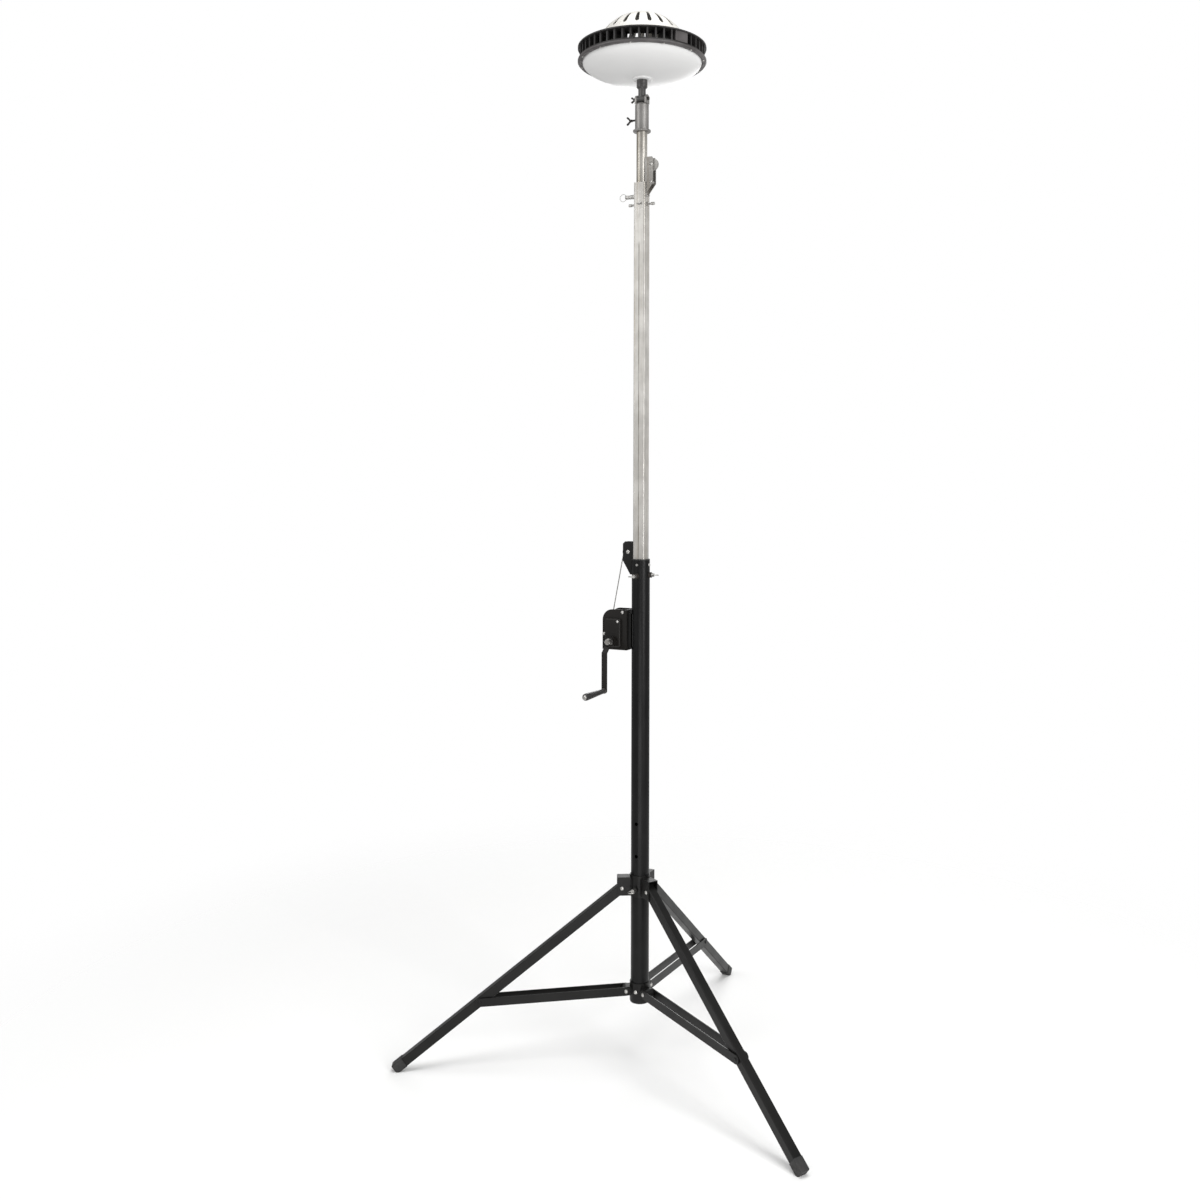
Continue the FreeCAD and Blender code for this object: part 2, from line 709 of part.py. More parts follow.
def ratchet_wheel():
    """Ratchet with a friction disc each side, free on the crank shaft."""
    tip, root, count = float(dim.ratchet_tip), float(dim.ratchet_root), int(dim.ratchet_teeth.value)
    corners = []
    for step in range(count):
        angle = math.radians(90 + step * 360 / count)
        for radius in (root, tip):
            corners.append((radius * math.cos(angle), radius * math.sin(angle)))
    body = new_body()

    def outline(sketch):
        draw_polygon(sketch, corners)
        draw_circle(sketch, dim.shaft_radius + dim.run_gap)

    add_pad(body, "XY_Plane", outline, 4)
    plane = -dim.ratchet_plane
    body.Placement = FreeCAD.Placement(vector(-dim.crank_reach, plane, dim.crank_height),
                                       FreeCAD.Rotation(X, 90))
    discs = []
    for y in (plane - 3, plane + 2):
        disc = annulus(10.5, dim.shaft_radius + dim.run_gap, 0, 1)
        disc.Placement = turned((-dim.crank_reach, y, dim.crank_height), Y)
        discs.append(disc)
    return group(body, *discs)


def ratchet_pawl():
    """The pawl: its tip stands in a ratchet gap and its eye is on the pawl pin."""
    corners = [(0.5, 12.3), (0.6, 16.5), (19, 20.5), (19, 11.5), (6, 14.0)]
    thick, plane = 3, -dim.ratchet_plane
    blade = plate_body("XZ_Plane", corners, thick)
    moved(blade, (-dim.crank_reach, plane, dim.crank_height))
    eye = rod(4.5, thick, (-dim.pawl_reach, plane - thick / 2, dim.pawl_height), Y)
    bore = rod(2.05, 10, (-dim.pawl_reach, plane - 5, dim.pawl_height), Y)
    return cut(fuse(blade, eye), bore)


def pawl_spring():
    """Small torsion coil round the pawl pin."""
    coils = []
    for y in (-33.9, -32.7):
        coils.append(torus(2.7, 0.55, (-dim.pawl_reach, y, dim.pawl_height), Y))
    return group(*coils)


def crank_arm():
    inner, outer = dim.arm_hub, dim.arm_plane
    thick = dim.arm_thickness
    height, bottom = dim.crank_height, dim.crank_height - dim.crank_throw
    corners = [
        (-inner, height), (-inner, height - 12), (-outer, height - 34), (-outer, bottom),
        (-outer - thick, bottom), (-outer - thick, height - 32), (-inner - thick, height - 10),
        (-inner - thick, height)]
    strip = plate_body("YZ_Plane", corners, dim.arm_width)
    moved(strip, (-dim.crank_reach, 0, 0))
    top = rod(dim.arm_width / 2, thick, (-dim.crank_reach, -inner - thick, height), Y)
    end = rod(dim.arm_width / 2, thick, (-dim.crank_reach, -outer - thick, bottom), Y)
    shaft = rod(dim.shaft_radius - 1, 60, (-dim.crank_reach, -inner - 30, height), Y)
    pin = rod(dim.grip_axle, 60, (-dim.crank_reach, -outer - 30, bottom), Y)
    return cut(fuse(strip, top, end), shaft, pin)


def crank_hub_nut():
    """The nut in front of the crank arm and the bright spacer behind it."""
    start = (-dim.crank_reach, -dim.arm_hub - dim.arm_thickness, dim.crank_height)
    nut = fuse(hexagon(9, 6, start, -Y), rod(9.8, 1.2, start, -Y))
    spacer = annulus(11.5, dim.shaft_radius, 0, 12)
    spacer.Placement = turned((-dim.crank_reach, -dim.arm_hub, dim.crank_height), Y)
    bore = rod(dim.shaft_radius - 1, 30, (-dim.crank_reach, -95, dim.crank_height), Y)
    return group(cut(nut, bore), spacer)


def grip_ends():
    """Where the grip starts and stops, as distances from the mast along -Y."""
    start = dim.arm_plane + dim.arm_thickness + 4
    return start, start + dim.grip_length


def grip_bolt():
    """The bolt that the grip turns on, with its washer and head."""
    start, end = grip_ends()
    x, z = -dim.crank_reach, dim.crank_height - dim.crank_throw
    shank = rod(dim.grip_axle, end + 1 - dim.arm_plane, (x, -dim.arm_plane, z), -Y)
    washer = rod(8.5, 3.5, (x, -start + 3.8, z), -Y)
    head = cone(7.5, 5, 4, (x, -end - 0.5, z), -Y)
    tail = cone(7, 6, 3, (x, -dim.arm_plane, z), Y)
    return fuse(shank, washer, head, tail)


def crank_grip():
    big, bore, length = dim.grip_radius, dim.grip_axle + dim.run_gap, dim.grip_length
    grip = turned_body([
        (bore, 0), (6.5, 0), (7.5, 1.5), (8.2, 30), (9.8, 70), (big - 0.4, length - 25),
        (big, length - 12), (big - 0.8, length - 5), (big - 3, length - 0.6), (big - 4, length),
        (bore, length)])
    start = grip_ends()[0]
    grip.Placement = turned((-dim.crank_reach, -start, dim.crank_height - dim.crank_throw), -Y)
    return grip


# ---------------------------------------------------------------- collar, legs, braces

def upper_collar():
    inner, outer = dim.tube_radius + dim.slide_gap, dim.tube_radius + dim.collar_wall + 0.5
    ring = annulus(outer, inner, dim.upper_collar_bottom, dim.upper_collar_top)
    wall, inside = dim.clevis_wall, dim.leg_width / 2 + 0.4
    start, reach = outer - 1.5, dim.clevis_reach
    length, bottom = reach - start, dim.upper_collar_bottom + 3
    height = dim.clevis_top - bottom
    pieces = []
    for degrees in LEG_DIRECTIONS.values():
        for side in (-1, 1):
            cheek = block(length, wall, height,
                          ((reach + start) / 2, side * (inside + wall / 2), bottom))
            pieces.append((cheek, degrees))
        roof = block(length, inside * 2, wall, ((reach + start) / 2, 0, dim.clevis_top - wall))
        pieces.append((roof, degrees))
    for thing, degrees in pieces:
        thing.Placement = towards(degrees).multiply(thing.Placement)
    boss = rod(9, 8, (0, -float(outer) + 2, dim.index_first), -Y)
    whole = fuse(ring, boss, *[thing for thing, _ in pieces])
    tools = [rod(inner, 200, (0, 0, 500)),
             rod(dim.pin_radius + 0.6, 40, (0, -20, dim.index_first), -Y)]
    for degrees in LEG_DIRECTIONS.values():
        hole = rod(dim.bolt_radius, 60, (dim.leg_pivot_reach, -30, dim.leg_pivot_height), Y)
        hole.Placement = towards(degrees).multiply(hole.Placement)
        tools.append(hole)
    return cut(whole, *tools)


def brace_joint():
    """Reach and height of the point where a brace meets its leg."""
    angle = math.radians(float(dim.leg_angle))
    length = float(dim.leg_to_brace)
    return (float(dim.leg_pivot_reach) + length * math.sin(angle),
            float(dim.leg_pivot_height) - length * math.cos(angle))


def leg_place(degrees):
    """Puts a leg, drawn hanging from its pivot at the origin, in its place."""
    tilt = FreeCAD.Placement(vector(dim.leg_pivot_reach, 0, dim.leg_pivot_height),
                             FreeCAD.Rotation(Y, -float(dim.leg_angle)))
    return towards(degrees).multiply(tilt)


def leg_length():
    return (float(dim.leg_pivot_height) - float(dim.foot_clearance)) / math.cos(
        math.radians(float(dim.leg_angle)))


def leg_tube():
    width, wall = dim.leg_width, dim.leg_wall
    length = leg_length() - dim.foot_sole
    outer = block(width, width, dim.leg_head + length, (0, 0, -length))
    skin = rounded(outer, 3, lambda edge: runs_along(edge, Z))
    inner = block(width - wall * 2, width - wall * 2, dim.leg_head + length + 10,
                  (0, 0, -length - 5))
    hole = rod(dim.bolt_radius + dim.run_gap, width * 2, (0, -width, 0), Y)
    return cut(skin, inner, hole)


def leg_foot():
    """A rubber cap over the end of a leg, cut flat where it meets the floor."""
    width, length = dim.foot_width, leg_length()
    outer = block(width, width, dim.foot_depth, (0, 0, -length))
    skin = rounded(outer, 4, lambda edge: runs_along(edge, Z) or middle_of(edge).z < -length + 1)
    pocket = block(dim.leg_width, dim.leg_width, dim.foot_depth,
                   (0, 0, dim.foot_sole - length))
    pocket_skin = rounded(pocket, 3, lambda edge: runs_along(edge, Z))
    cap = cut(skin, pocket_skin)
    below = block(300, 100, 100, (0, 0, -100))
    below.Placement = leg_place(0).inverse().multiply(
        FreeCAD.Placement(vector(650, -50, -100), FreeCAD.Rotation()))
    return cut(cap, below)


def brace():
    """Two flat bars either side of lug and leg, with their rivet heads and washers."""
    joint_reach, joint_height = brace_joint()
    run = joint_reach - float(dim.brace_pivot_reach)
    rise = joint_height - float(dim.brace_pivot_height)
    length, half = math.hypot(run, rise), dim.brace_width / 2
    pieces = []
    for side in (-1, 1):
        y = side * (dim.brace_inside + dim.brace_thickness / 2)
        start = y - dim.brace_thickness / 2
        bar = block(length, dim.brace_thickness, dim.brace_width, (length / 2, y, -half))
        ends = [rod(half, dim.brace_thickness, (x, start, 0), Y) for x in (0, length)]
        hole = rod(dim.bolt_radius + dim.run_gap, 20, (0, y - 10, 0), Y)
        face = side * (dim.brace_inside + dim.brace_thickness)
        head = cone(6.5, 4.5, 3, (length, face, 0), Y * side)
        washer = rod(7, dim.brace_inside - dim.leg_width / 2 - 0.4,
                     (length, side * dim.brace_inside, 0), Y * -side)
        pieces.append(fuse(cut(fuse(bar, *ends), hole), head, washer))
    made = group(*pieces)
    made.Placement = FreeCAD.Placement(
        vector(dim.brace_pivot_reach, 0, dim.brace_pivot_height),
        FreeCAD.Rotation(Y, -math.degrees(math.atan2(rise, run))))
    return made


# ---------------------------------------------------------------- middle section

def middle_tube():
    height = dim.middle_top - dim.middle_bottom
    width, wall = dim.middle_width, dim.middle_wall
    body = block(width, width, height, (0, 0, dim.middle_bottom))
    outer = rounded(body, dim.middle_corner, lambda edge: runs_along(edge, Z))
    inside = block(width - wall * 2, width - wall * 2, height + 10, (0, 0, dim.middle_bottom - 5))
    inner = rounded(inside, dim.middle_corner - wall, lambda edge: runs_along(edge, Z))
    pin = rod(5.2, 60, (-60, 0, dim.middle_pin_height), X)
    screws = rod(3, 80, (-40, 0, dim.guide_screw_height), X)
    return cut(outer, inner, pin, screws)


def middle_bottom_plug():
    """Round glide on the tube's lower end, with the eye that the cable pulls on."""
    bottom, flange = dim.middle_bottom - 12, dim.tube_radius - dim.tube_wall - dim.slide_gap
    inside = dim.middle_width - dim.middle_wall * 2
    disc = rod(flange, 12, (0, 0, bottom))
    spigot = rounded(block(inside, inside, 14, (0, 0, dim.middle_bottom - 1)), 3,
                     lambda edge: runs_along(edge, Z))
    anchor = rod(2.6, 10, (-24, 0, dim.middle_bottom - 1))
    return fuse(disc, spigot, anchor)


def head_bracket():
    face, reach, top = dim.middle_width / 2, dim.head_plate_reach, dim.head_plate_top
    inner = 16.5
    outline = [
        (face, dim.head_plate_bottom), (reach, dim.head_plate_knee), (reach, top - 6),
        (reach - 4, top), (inner + 5, top), (inner, top - 5), (inner, dim.middle_top),
        (face, dim.middle_top)]
    plates = []
    for side in (-1, 1):
        plate = plate_body("XZ_Plane", outline, dim.plate_thickness)
        moved(plate, (0, side * dim.head_plate_offset, 0))
        holes = [rod(dim.axle_radius, 60, (dim.head_pulley_reach, -30, dim.head_pulley_height), Y),
                 rod(2.5, 60, (dim.head_spacer_reach, -30, dim.head_spacer_height), Y)]
        plates.append(cut(plate, *holes))
    return group(*plates)


def head_pulley():
    wheel = grooved_pulley(dim.head_pulley_rim, dim.head_pulley_rim - 5, 12,
                           dim.axle_radius + dim.run_gap)
    wheel.Placement = turned((dim.head_pulley_reach, 0, dim.head_pulley_height), Y)
    return wheel


def head_fasteners():
    """The pulley's axle bolt, and a smaller bolt with the spacer it passes through."""
    inside = dim.head_plate_offset - dim.plate_thickness / 2
    outside = inside + dim.plate_thickness
    reach, height = dim.head_spacer_reach, dim.head_spacer_height
    axle = bolt(dim.axle_radius, 6.5, 4,
                (dim.head_pulley_reach, -outside, dim.head_pulley_height), outside * 2, Y)
    spacer_bolt = bolt(2.5, 4.5, 2.5, (reach, -outside, height), outside * 2, Y)
    spacer = annulus(5, 2.5, 0, inside * 2)
    spacer.Placement = turned((reach, -inside, height), Y)
    return group(axle, spacer_bolt, spacer)


def middle_fasteners():
    """Side screws that steady the upper tube, a hook screw, and the pull pin's barrel."""
    face, z = dim.middle_width / 2, dim.guide_screw_height
    pieces = []
    for direction in (-X, X):
        start = direction * (float(dim.upper_radius) + 0.4) + vector(0, 0, z)
        nut = direction * float(face) + vector(0, 0, z)
        pieces.append(fuse(rod(3, 27, start, direction), hexagon(7, 5, nut, direction),
                           rod(5, 11, nut + direction * 15, direction)))
    start = vector(4, -face, z + 2)
    pieces.append(fuse(hexagon(4.5, 3, start, -Y),
                       rod(1.6, 16, start + vector(4, -4, -3), -X)))
    z = dim.middle_pin_height
    barrel = rod(7, 20, (-face, 0, z), -X)
    nut = hexagon(10, 6, (-face, 0, z), -X)
    bore = rod(dim.pin_radius + 0.1, 60, (-face - 25, 0, z), X)
    keeper = fuse(rod(dim.pin_radius, 8, (face, 0, z), X), cone(5.5, 4, 2, (face, 0, z), X))
    return group(*pieces, cut(fuse(barrel, nut), bore), keeper)


# ---------------------------------------------------------------- upper section, sleeve

def upper_tube():
    outer, inner = dim.upper_radius, dim.upper_radius - dim.upper_wall
    top, spigot = dim.upper_top, dim.spigot_radius
    end = top + dim.spigot_length
    return turned_body([
        (inner, dim.upper_bottom), (outer, dim.upper_bottom), (outer, top), (spigot, top),
        (spigot, end - 2), (spigot - 2, end), (0, end), (0, top - 14), (inner, top - 14)])


def light_sleeve():
    bottom, flange_top = dim.upper_top + dim.slide_gap, dim.upper_top + 6
    outer, bore = dim.sleeve_radius, dim.spigot_radius + 0.3
    blind = dim.upper_top + dim.spigot_length + 1
    body = turned_body([
        (bore, bottom), (dim.sleeve_flange - 1.5, bottom), (dim.sleeve_flange, bottom + 2),
        (dim.sleeve_flange - 0.5, flange_top), (outer, flange_top + 1), (outer, dim.sleeve_top - 5),
        (outer - 5, dim.sleeve_top), (0, dim.sleeve_top), (0, blind), (bore, blind)])
    ears = []
    thick, eye_radius = 6, dim.eye_radius
    for side in (-1, 1):
        x = side * dim.ear_offset
        plate = block(thick, eye_radius * 2, dim.tilt_height - dim.sleeve_top + 1,
                      (x, 0, dim.sleeve_top - 1))
        eye = rod(eye_radius, thick, (x - thick / 2, 0, dim.tilt_height), X)
        ears.append(fuse(plate, eye))
    screw = rod(3.1, 20, (-dim.sleeve_radius - 6, 0, dim.sleeve_screw_height), X)
    pivot = rod(4, 60, (-30, 0, dim.tilt_height), X)
    return cut(fuse(body, *ears), screw, pivot)


def wings(back, front, tip, spread, z, thickness):
    """The two flat wings of a wing screw, from its hub out to rounded tips."""
    pieces = []
    for side in (-1, 1):
        outline = [(back, 0), (front, 0), (tip - 2, side * (spread - 2)),
                   (tip + 3, side * (spread + 2))]
        blade = moved(plate_body("XZ_Plane", outline, thickness), (0, 0, z))
        end = rod(3.2, thickness, (tip, -thickness / 2, z + side * spread), Y)
        pieces += [blade, end]
    return pieces


def sleeve_wing_screw():
    z = dim.sleeve_screw_height
    tip = float(dim.spigot_radius) + 0.4
    return fuse(rod(3, 40 - tip, (-40, 0, z), X), rod(4.5, 9, (-45.5, 0, z), X),
                *wings(-38, -45, -53, 11, z, 3))


def tilt_wing_screw():
    z = dim.tilt_height
    end = dim.bolt_head_height
    return fuse(rod(3.95, 53, (-29, 0, z), X), rod(6, 6.5, (-28, 0, z), X),
                hexagon(6.5, end, (21.3, 0, z), X), *wings(-25, -31, -36.5, 7, z, 3))


# ---------------------------------------------------------------- lamp head

def lamp_stem():
    z = dim.tilt_height
    eye = rod(dim.eye_radius, 29.4, (-14.7, 0, z), X)
    neck = rod(dim.neck_radius, 38, (0, 0, z))
    shoulder = cone(dim.neck_radius, dim.stem_radius, 6, (0, 0, z + 32))
    post = rod(dim.stem_radius, dim.heatsink_base - z - 38, (0, 0, z + 38))
    bore = rod(4, 60, (-30, 0, z), X)
    screw = rod(3, 2, (0, -dim.stem_radius - 1.4, z + 52), Y)
    return cut(fuse(eye, neck, shoulder, post, screw), bore)


def bowl(radius, depth, rim):
    """A solid half ellipsoid that hangs below a rim plane."""
    made = doc.addObject("Part::Ellipsoid", "Bowl")
    made.Angle1 = -90
    made.Angle2 = 0
    bind(made, Radius1=depth, Radius2=radius)
    made.Placement.Base = vector(0, 0, rim)
    return made


def lamp_lens():
    """A bowl-shaped lens with a flat rim and a hole for the stem."""
    radius, depth = dim.lens_radius - dim.lens_lip, dim.lens_rim - dim.lens_bottom
    wall, rim = dim.lens_wall, dim.lens_rim
    shell = cut(bowl(radius - 0.3, depth, rim), bowl(radius - 0.3 - wall, depth - wall, rim))
    lip = annulus(dim.lens_radius, radius - 0.3 - wall, rim - 0.01, rim + wall)
    hole = rod(dim.stem_radius + 0.3, 100, (0, 0, dim.lens_bottom - 20))
    return cut(fuse(shell, lip), hole)


def lens_flange():
    """The ring that closes the lens around the stem, with its two screws."""
    bottom = dim.lens_bottom - 4
    ring = turned_body([
        (dim.stem_radius, bottom), (32, bottom), (34, bottom + 1.5), (34, bottom + 4.5),
        (dim.stem_radius, bottom + 4.0)])
    screws = [cone(2.6, 3.6, 1.8, (x, 0, bottom - 1.8)) for x in (-26, 26)]
    return group(ring, *screws)


def lamp_bezel():
    bottom, outer = dim.bezel_bottom, dim.lamp_radius
    inner, seat = dim.lens_radius - dim.lens_lip, dim.lens_rim - 0.05
    return turned_body([
        (inner, bottom + 3), (inner + 3, bottom), (outer - 3.5, bottom), (outer, bottom + 3.5),
        (outer, dim.heatsink_base), (dim.lens_radius + 1, dim.heatsink_base),
        (dim.lens_radius + 1, seat), (inner, seat)])


def bezel_screws():
    """Small pan-head screws round the bezel's lower face."""
    count = int(dim.bezel_screws.value)
    screws = []
    for step in range(count):
        screw = cone(3, 3.8, 2, (dim.lamp_radius - 8, 0, dim.bezel_bottom - 2))
        screw.Placement = towards((step + 0.5) * 360 / count).multiply(screw.Placement)
        screws.append(screw)
    return group(*screws)


def lamp_fin_ring():
    """The heatsink: a base plate, radial fins and a top rim, cast in one."""
    body = new_body()
    base, plate = dim.heatsink_base, dim.heatsink_plate
    outer = dim.lamp_radius

    def disc(sketch):
        draw_circle(sketch, outer - dim.fin_recess)

    def fin(sketch):
        half, end = dim.fin_thickness / 2, outer - dim.fin_recess - 1
        draw_polygon(sketch, [(dim.fin_inner, -half), (end, -half), (end, half),
                              (dim.fin_inner, half)])

    def rim(sketch):
        draw_circle(sketch, outer)
        draw_circle(sketch, dim.rim_inner)

    add_pad(body, "XY_Plane", disc, plate, False, base)
    fin_pad = add_pad(body, "XY_Plane", fin, dim.fin_height + 0.5, False, base + plate - 0.25)
    add_pattern(body, fin_pad, dim.fin_count)
    add_pad(body, "XY_Plane", rim, dim.rim_thickness, False, base + plate + dim.fin_height)
    window = block(60, 52, dim.fin_height - 0.2, (190, 0, base + plate + 0.1))
    window.Placement = towards(BOX_DIRECTION).multiply(window.Placement)
    return cut(body, window)


def terminal_box():
    z = dim.heatsink_base + dim.heatsink_plate + 0.1
    box = block(46, 49, dim.fin_height - 0.2, (186, 0, z))
    made = rounded(box, 2, lambda edge: runs_along(edge, Z))
    made.Placement = towards(BOX_DIRECTION)
    return made


def lamp_dome():
    """The vented top cover: a thin dome with radial slots and a flat foot."""
    base = dim.heatsink_base + dim.heatsink_plate + dim.fin_height + dim.rim_thickness
    centre = dim.dome_top - dim.dome_sphere
    outside = ball(dim.dome_sphere, (0, 0, centre))
    inside = ball(dim.dome_sphere - dim.dome_wall, (0, 0, centre))
    keep = rod(dim.dome_sphere + 5, 200, (0, 0, base))
    shell = common(cut(outside, inside), keep)
    count = int(dim.dome_slots.value)
    slots = []
    near, near_half = dim.slot_near, dim.slot_near_half
    far, far_half = dim.slot_far, dim.slot_far_half
    low, deep = base + 5, 200
    for step in range(count):
        sides = plate_body("XY_Plane", [(near, -near_half), (far, -far_half), (far, far_half),
                                        (near, near_half)], deep)
        moved(sides, (0, 0, low + deep / 2))
        slot = fuse(sides, rod(near_half, deep, (near, 0, low)),
                    rod(far_half, deep, (far, 0, low)))
        slot.Placement = towards(step * 360 / count)
        slots.append(slot)
    foot = annulus(dim.dome_radius + 6, dim.dome_radius - 2.5, base, base + 2)
    return cut(fuse(shell, foot), *slots)


def led_board():
    return annulus(dim.board_radius, dim.board_hole, dim.heatsink_base - 3, dim.heatsink_base)


def lamp_driver():
    """Driver and its terminal hump, sealed under the dome."""
    base = dim.heatsink_base + dim.heatsink_plate
    case = rounded(block(150, 96, 50, (-10, 8, base)), 6, lambda edge: runs_along(edge, Z))
    hump = block(44, 34, 26, (70, -66, base))
    return group(case, hump)


# ---------------------------------------------------------------- the assembly

def build():
    add_subpart("base_tube", base_tube())
    add_subpart("lower_collar", lower_collar())
    grip = dim.brace_inside + dim.brace_thickness + 0.3
    add_subpart("lower_collar_bolts",
                pivot_bolts(dim.brace_pivot_reach, dim.brace_pivot_height, grip,
                            collar_screw()))
    add_subpart("base_top_bush", base_top_bush())
    add_subpart("base_pulley_bracket", base_pulley_bracket())
    add_subpart("base_pulley", base_pulley())
    add_subpart("base_head_bolts", base_head_bolts())
    add_subpart("lift_cable", lift_cable())
    add_subpart("lock_housings", lock_housings())
    add_subpart("front_lock_pin",
                pull_pin(21.3, 42, (6, 14), (12, 1.2), -Y, dim.front_lock_height))
    add_subpart("side_lock_pin",
                pull_pin(21.3, 40, (6, 7), (9.5, 1.2), X, dim.side_lock_height))
    add_subpart("winch_bracket", winch_bracket())
    add_subpart("winch_frame", winch_frame())
    add_subpart("winch_gear_cover", winch_gear_cover())
    add_subpart("winch_bolts", winch_bolts())
    add_subpart("winch_shaft_bushes", winch_shaft_bushes())
    add_subpart("winch_drum", winch_drum())
    add_subpart("drum_gear", drum_gear())
    add_subpart("cable_turns", cable_turns())
    add_subpart("crank_shaft", crank_shaft())
    add_subpart("ratchet_wheel", ratchet_wheel())
    add_subpart("ratchet_pawl", ratchet_pawl())
    add_subpart("pawl_spring", pawl_spring())
    add_subpart("crank_arm", crank_arm())
    add_subpart("crank_hub_nut", crank_hub_nut())
    add_subpart("grip_bolt", grip_bolt())
    add_subpart("crank_grip", crank_grip())
    add_subpart("upper_collar", upper_collar())
    half_grip = dim.leg_width / 2 + 0.4 + dim.clevis_wall
    add_subpart("upper_collar_bolts",
                pivot_bolts(dim.leg_pivot_reach, dim.leg_pivot_height, half_grip))
    add_subpart("collar_lock_pin",
                pull_pin(30.6, 39.5, (6.5, 17), (11.5, 1.2), -Y, dim.index_first))
    for number, degrees in LEG_DIRECTIONS.items():
        add_subpart(f"leg_tube_{number}", leg_tube(), leg_place(degrees))
        add_subpart(f"leg_foot_{number}", leg_foot(), leg_place(degrees))
        add_subpart(f"brace_{number}", brace(), towards(degrees))
    add_subpart("middle_tube", middle_tube())
    add_subpart("middle_bottom_plug", middle_bottom_plug())
    add_subpart("head_bracket", head_bracket())
    add_subpart("head_pulley", head_pulley())
    add_subpart("head_fasteners", head_fasteners())
    add_subpart("middle_fasteners", middle_fasteners())
    add_subpart("middle_lock_pin",
                pull_pin(18.4, 40.5, (6.5, 18), (12, 0.9), -X, dim.middle_pin_height, Y))
    add_subpart("upper_tube", upper_tube())
    add_subpart("light_sleeve", light_sleeve())
    add_subpart("sleeve_wing_screw", sleeve_wing_screw())
    add_subpart("tilt_wing_screw", tilt_wing_screw())
    add_subpart("lamp_stem", lamp_stem())
    add_subpart("lamp_lens", lamp_lens())
    add_subpart("lens_flange", lens_flange())
    add_subpart("lamp_bezel", lamp_bezel())
    add_subpart("bezel_screws", bezel_screws())
    add_subpart("lamp_fin_ring", lamp_fin_ring())
    add_subpart("terminal_box", terminal_box())
    add_subpart("lamp_dome", lamp_dome())
    add_subpart("led_board", led_board())
    add_subpart("lamp_driver", lamp_driver())


def check():
    """Stop if any object failed to build or any sub-part isn't a valid solid."""
    doc.recompute()
    for thing in doc.Objects:
        if "Invalid" in thing.State or "Error" in thing.State:
            raise RuntimeError(f"{thing.Name} {thing.Label} failed: {thing.State}")
    for name, thing in SUBPARTS.items():
        shape = thing.Shape
        if shape.isNull() or not shape.isValid() or not shape.Solids:
            raise RuntimeError(f"{name} is not a valid solid")


build()
check()
for name, thing in SUBPARTS.items():
    thing.Shape.exportStep(f"parts/{name}.step")
    print(name, len(thing.Shape.Solids), round(thing.Shape.Volume / 1000, 2))
print(len(SUBPARTS), "sub-parts")
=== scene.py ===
import math
import random

import bpy
from mathutils import Matrix, Vector


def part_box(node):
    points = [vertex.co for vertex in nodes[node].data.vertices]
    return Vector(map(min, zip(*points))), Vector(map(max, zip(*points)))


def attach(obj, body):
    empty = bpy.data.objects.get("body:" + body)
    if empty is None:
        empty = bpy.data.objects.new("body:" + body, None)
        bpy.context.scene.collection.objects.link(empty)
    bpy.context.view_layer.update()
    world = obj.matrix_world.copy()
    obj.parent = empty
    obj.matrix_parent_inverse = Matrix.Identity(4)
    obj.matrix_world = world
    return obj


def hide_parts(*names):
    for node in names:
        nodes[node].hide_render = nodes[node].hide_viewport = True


# A crank lighting stand: black powder-coated tripod and base tube with a hand winch,
# galvanised sliding sections, and a round lamp head with an opal lens.

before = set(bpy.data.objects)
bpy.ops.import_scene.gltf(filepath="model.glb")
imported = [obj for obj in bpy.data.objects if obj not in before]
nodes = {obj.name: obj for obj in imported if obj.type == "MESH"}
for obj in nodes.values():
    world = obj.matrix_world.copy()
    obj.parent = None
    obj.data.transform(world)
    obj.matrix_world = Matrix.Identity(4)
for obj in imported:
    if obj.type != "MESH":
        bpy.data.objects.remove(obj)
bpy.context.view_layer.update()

MM = 0.001
EAST = Vector((1, 0, 0))
UP = Vector((0, 0, 1))


# ------------------------------------------------------------------ places in the frame

def centre(node):
    low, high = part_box(node)
    return (low + high) / 2


def on_mast(x, y, z):
    """A point in metres from millimetres about the mast axis."""
    return Vector((mast.x + x * MM, mast.y + y * MM, z * MM))


mast = centre("base_tube")
LEG_ANGLES = {1: 90, 2: 210, 3: 330}


# ------------------------------------------------------------------ materials

# Nearly all of a noise texture's values lie between these two.
NOISE_LOW, NOISE_HIGH = 0.3, 0.7

# Height in metres at which the lock pin's worn line on the middle tube ends.
TRACK_TOP = 2.708


